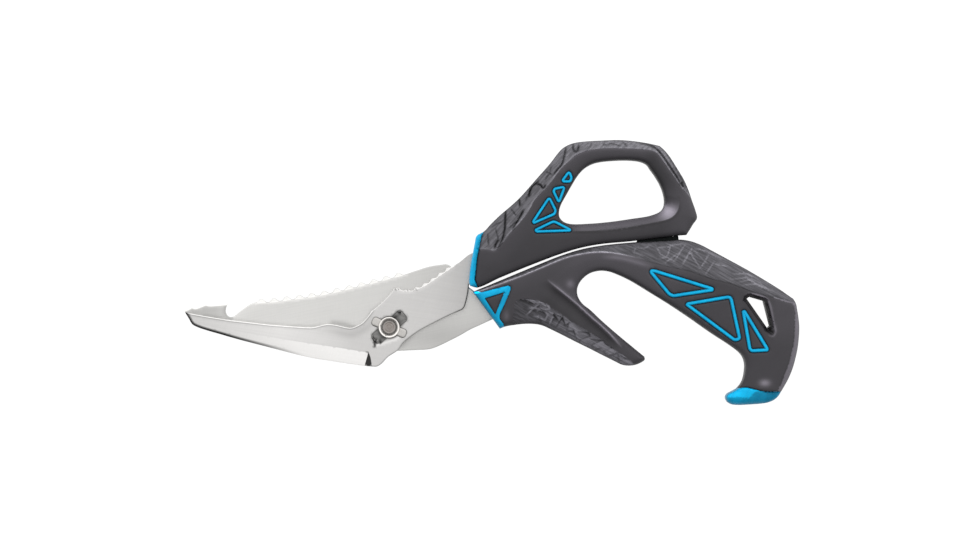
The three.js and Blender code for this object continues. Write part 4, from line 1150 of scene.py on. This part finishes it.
def lower_relief(spots):
    """The lower handle's half thickness and its tone at each spot."""
    x, y = spots.T
    rim = nearest(spots, lower_rim, True)[0]
    hole = nearest(spots, lanyard_hole, True)[0]
    crease = nearest(spots, lower_crease)[0]
    guard = nearest(spots, guard_crease)[0]
    cap = nearest(spots, cap_line)[0]
    pocket = nearest(spots, hole_pocket)[0]
    border, _, border_in = tapered(spots, hole_border, 0.15)
    ridge, ridge_side, ridge_in = tapered(spots, prong_ridge, 0.15)
    second, _, second_in = tapered(spots, second_ridge)
    tail_gap, tail_side, tail_in = tapered(spots, tail_rim, 0.1)
    facet, facet_side, _ = nearest(spots, cap_facet)
    ring = np.min([nearest(spots, loop, True)[0] for loop in lower_inlays], axis=0)
    on_top = inside(spots, top_pad_side) & (crease > 0.02)
    on_guard = inside(spots, guard_side) & ~on_top
    on_cap = inside(spots, cap_side)
    on_frame = inside(spots, frame_outer) & ~inside(spots, frame_window)
    frame_gap = np.minimum(nearest(spots, frame_outer, True)[0], nearest(spots, frame_window, True)[0])
    on_strip = (tail_side > 0) & (x > 150) & ~on_cap & ~on_top
    below_ridge = ridge_in * (ridge_side < 0) * ~on_guard
    shards = crack_depth(spots, top_shards, 0.24, 0.3) * on_top
    scales = crack_depth(spots, guard_shards, 0.42, 0.4) * on_guard
    glow = rise(x, 100, -14)  # the crease is a raised line with a painted highlight in front, and a groove further back

    # Shape: the rounded edge, the lanyard hole and its pocket, the two pads, the parting grooves, the
    # ridges, the grooves of the inlays, the tail's rim, the cap's facet and the bolster's frame.
    half = CREST - rounding(rim, NYLON_EDGE) - 0.7 * rise(rim, 9, -9) ** 2
    half -= 1.7 * rise(hole, 1.3, -0.4) + 1.1 * bell(pocket, 0.8)
    half += shards - on_top * (0.05 + 0.12 * np.clip(crease, 0, 9))
    half -= on_top * 0.3 * scarp(spots, top_shards, 0.3, 2)
    half -= on_guard * 0.15 * np.clip(guard, 0, 7) * rise(x, 47, 8)
    half += on_guard * scarp(spots, guard_shards, 0.3, 1.3)
    half -= (0.3 - 0.45 * glow) * bell(crease, 0.3) + 0.5 * bell(cap, 0.28)
    half += 0.2 * second_in * bell(second, 0.9) + 0.15 * border_in * bell(border, 0.5)
    half += ridge_in * 0.55 * bell(ridge, 0.7) - 0.9 * below_ridge * bell(ridge - 2.6, 1.8)
    half -= inlay_groove(ring, LOWER_INLAY)
    half -= tail_in * (0.4 * bell(tail_gap, 0.4) + 0.3 * np.clip(tail_gap, 0, 4) * on_strip)
    half -= on_cap * (facet_side > 0) * 0.33 * np.clip(facet, 0, 5)
    frame_lift = 0.25 - rounding(np.minimum(frame_gap, rim), 0.5)
    half += np.where(on_frame, frame_lift, -0.35 * bell(frame_gap, 0.35))

    # Tone of the nylon: painted highlights along the ridges, in the finger space, behind the bolster,
    # above the cap, round the lanyard hole and on the tail's strip, and painted shade in the hollows and
    # grooves.
    body = 0.95 + (4.6 * glow - 0.3) * bell(crease, 0.3) + 1.7 * second_in * bell(second, 0.9)
    body += 0.25 * rise(x, 104, -10) * rise(crease, 6, -6)
    body += 5.5 * ridge_in * bell(ridge, 0.36) + 0.3 * ridge_in * (ridge_side > 0) - 0.35 * below_ridge
    body += 2.2 * bell(np.hypot(x - 70.7, y - 17), 1.4)
    body += 1.2 * bell(np.hypot(x - 45.8, (y - 4.6) / 2), 0.9)
    body += 4.5 * bell(np.hypot((x - 146.4) / 1.3, (y + 21.6) / 0.8), 1.5)
    body += 3.5 * border_in * bell(border, 0.35) - 0.8 * bell(hole, 1.2) - 0.7 * bell(pocket, 1.0)
    body += 0.28 * rise(x, 149, 2) * rise(y, -8, 8) + 2.7 * on_strip
    body -= 0.45 * tail_in * bell(tail_gap, 0.35)

    # Tone of the two pads: painted highlights on the top one's shards and crease; on the other, painted
    # highlights and shade on the cracks, pale towards the front of the prong and dark further along.
    top = 1.05 + 1.1 * rise(shards, 0, 0.15) + (4.3 * glow - 0.3) * bell(crease, 0.3)
    top += 0.15 * rise(x, 120, 10) - 0.25 * np.clip(scarp(spots, top_shards, 1, 0.7), -1, 0)
    top -= 0.4 * rise(x, 84, -10)
    under = 0.72 + 0.25 * rise(x, 50, 8) + 1.1 * rise(x, 90, 5)
    under += 1.3 * rise(x, 60, 12) * rise(guard, 0, 0.8)
    under += np.where(x < 64, 1.8, -0.9) * rise(scales, 0, 0.2) + 1.1 * scarp(spots, guard_shards, 1, 0.7)

    # The cap's tone: a painted highlight on its upper facet and towards the hook, a little darker at its
    # end.
    trim = 0.72 + 0.3 * rise(x, 141, -5) + 0.45 * (facet_side < 0) * (y > -28) - 0.1 * (x > 147)
    tone = np.where(on_top, top, np.where(on_guard, under, body))
    # Painted shade in the cap's groove, the inlays' grooves, round the bolster's frame and along the edge.
    tone -= 0.4 * bell(cap, 0.3) + 0.5 * (ring < LOWER_INLAY / 2 + 0.45)
    tone -= 0.5 * ~on_frame * bell(frame_gap, 0.4)
    tone = np.where(on_cap, trim, tone) * (1 - 0.6 * bell(rim, 0.35))
    return np.minimum(half, HANDLE_MIDDLE), np.clip(tone, 0.15, 12)


lower_spots, lower_faces = triangulated(
    [lower_rim, lanyard_hole],
    cuts=[lower_crease, guard_crease, cap_line, frame_outer, frame_window],
    guides=lower_guides,
    spacing=HANDLE_SPACING)
lower_half, lower_tone = lower_relief(lower_spots)
face_middles = lower_spots[lower_faces].mean(1)
on_frame = inside(face_middles, frame_outer) & ~inside(face_middles, frame_window)
on_top = inside(face_middles, top_pad_side) & ~on_frame
on_cap = inside(face_middles, cap_side) & ~on_top
on_guard = inside(face_middles, guard_side) & ~on_top & ~on_frame & ~on_cap
on_core = ~(on_frame | on_top | on_cap | on_guard)

top_rubber = soft_grip("top_pad_rubber", paint(67, 66, 70), -28)
guard_rubber = soft_grip("guard_pad_rubber", paint(60, 59, 63), -30)
for name, node, zone, finish, finish_slot in (
    ("lower_handle_body", "lower_handle", on_core, body_nylon, "handle_nylon"),
    ("lower_handle_top_pad", "lower_top_grip", on_top, top_rubber, "soft_grip"),
    ("prong_guard_pad", "finger_guard_grip", on_guard, guard_rubber, "soft_grip"),
    ("lower_blue_bolster", "lower_bolster", on_frame, trim_blue, "blue_trim"),
    ("hook_end_cap", "hook_cap", on_cap, trim_blue, "blue_trim"),
):
    shade = np.maximum(lower_tone, 0.6) if finish is trim_blue else lower_tone
    part = moulded(name, lower_spots, lower_faces[zone], lower_half, shade, finish)
    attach(part, "rear_half")
    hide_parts(node)


# ---------------------------------------------------------------------------------------------------------
# Lower inlays: three larger blue rings on each face, beads like the upper ones, along the tail.
for number, loop in enumerate(lower_inlays, 1):
    inlay_pair("lower", number, loop, LOWER_INLAY, lower_relief, "rear_half")


# ---------------------------------------------------------------------------------------------------------
# Stop bumper: a strip of black rubber pressed into the top of the lower handle, where the upper one closes
# on it. It is ribbed across, so that it gives a little. Its near-black also stands in for the contact
# shadow where the closed handles meet.
BUMPER_START, BUMPER_LENGTH = 96.5, 16.5
BUMPER_RIBS, RIB_DEPTH = 8, 0.14
bumper_low, bumper_high = heights("handle_stop_bumper")
over_bumper = (upper_under[:, 0] > 96.4) & (upper_under[:, 0] < 113.2)
bumper_top = shifted(upper_under[over_bumper], -0.03)
bumper_foot = line((113, 34), (108, 33.75), (101.9, 33.2), (96.5, 32.85), step=0.4)
bumper_rim = joined(bumper_foot[::-1], bumper_top[::-1])
bumper_guides = [(bumper_rim, True, (0.15, 0.35))]
bumper_spots, bumper_faces = triangulated([bumper_rim], guides=bumper_guides, spacing=0.4)
bumper_gap = nearest(bumper_spots, bumper_rim, True)[0]
rib_turns = BUMPER_RIBS * (bumper_spots[:, 0] - BUMPER_START) / BUMPER_LENGTH
bumper_fall = rounding(bumper_gap, 0.4) + RIB_DEPTH * (1 - np.cos(2 * math.pi * rib_turns))

stop_rubber_and_shadow = Finish("bumper_rubber_and_shadow")
bloom, pores = stop_rubber_and_shadow.grain(3, 4), stop_rubber_and_shadow.grain(0.3, 3)
stop_rubber_and_shadow.surface(
    Base_Color=stop_rubber_and_shadow.shaded(paint(2, 6, 6), 0.7 + 0.5 * bloom),
    Roughness=(0.7 + 0.2 * pores).held(),
    Specular_IOR_Level=0.2,
    Normal=stop_rubber_and_shadow.bumped(pores, 0.05),
)
bumper_points, bumper_skin, _ = slab(bumper_spots, bumper_faces, bumper_high - bumper_fall,
                                     bumper_low + bumper_fall)
stop_bumper = made("closing_stop_bumper", bumper_points, bumper_skin, stop_rubber_and_shadow)
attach(stop_bumper, "rear_half")
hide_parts("handle_stop_bumper")


# ---------------------------------------------------------------------------------------------------------
# Studio: a white light table, a pale sky that is darker towards -Y, and two soft lamps that give the edges
# shape. The camera looks straight down through a long lens.
FLOOR_HALF = 1.5
corners = [(-FLOOR_HALF, -FLOOR_HALF, 0), (FLOOR_HALF, -FLOOR_HALF, 0), (FLOOR_HALF, FLOOR_HALF, 0),
           (-FLOOR_HALF, FLOOR_HALF, 0)]
floor_mesh = bpy.data.meshes.new("light_table")
floor_mesh.from_pydata(corners, [], [(0, 1, 2, 3)])
floor = bpy.data.objects.new("light_table", floor_mesh)
bpy.context.scene.collection.objects.link(floor)
table_white = Finish("table_white")
mottle = table_white.grain(40, 3)
table_white.surface(
    Base_Color=table_white.shaded(paint(70, 70, 70), 0.97 + 0.03 * mottle),
    Roughness=0.9,
    Specular_IOR_Level=0.0,
    Emission_Color=(1, 1, 1, 1),
    Emission_Strength=1.0,
)
floor_mesh.materials.append(table_white.material)

scene = bpy.context.scene
scene.view_settings.view_transform = "Standard"
scene.world = bpy.data.worlds.new("studio")
sky = Nodes(scene.world)
lookup = sky.node("ShaderNodeTexCoord", output="Generated")
towards = sky.node("ShaderNodeVectorMath", {"operation": "DOT_PRODUCT"},
                   {0: lookup, 1: (0.1, 0.49, 0)}, "Value")
SKY_STOPS = [(0, 0.1), (0.3, 0.44), (0.5, 0.5), (0.66, 0.6), (1, 0.66)]  # greys from -Y to +Y
glow = sky.node("ShaderNodeValToRGB", {"stops": SKY_STOPS}, {0: towards + 0.5})
sky.feed(sky.tree.nodes["Background"].inputs, {"Color": glow, "Strength": 2.0})

for name, place, size, power in (
    ("key_lamp", (-0.2, 0.7, 0.6), 0.35, 6.0),
    ("side_lamp", (0.8, 0.2, 0.4), 0.3, 3.0),
):
    lamp = bpy.data.lights.new(name, "AREA")
    lamp.energy, lamp.size = power, size
    lamp_stand = bpy.data.objects.new(name, lamp)
    lamp_stand.location = place
    lamp_stand.visible_glossy = False  # no glare on the flat steel
    lamp_stand.rotation_mode = "QUATERNION"
    lamp_stand.rotation_quaternion = (-lamp_stand.location).to_track_quat("-Z", "Y")
    scene.collection.objects.link(lamp_stand)

VIEW_WIDTH = 0.3824  # metres of the table that the camera takes in
VIEW_MIDDLE = (-0.00087, -0.00088)
camera_data = bpy.data.cameras.new("camera")
camera_data.lens, camera_data.sensor_width = 200, 36
camera_data.clip_start, camera_data.clip_end = 0.05, 20
camera_height = HANDLE_MIDDLE * MM + VIEW_WIDTH * camera_data.lens / camera_data.sensor_width
camera = bpy.data.objects.new("camera", camera_data)
camera.location = (*VIEW_MIDDLE, camera_height)
scene.collection.objects.link(camera)
scene.camera = camera
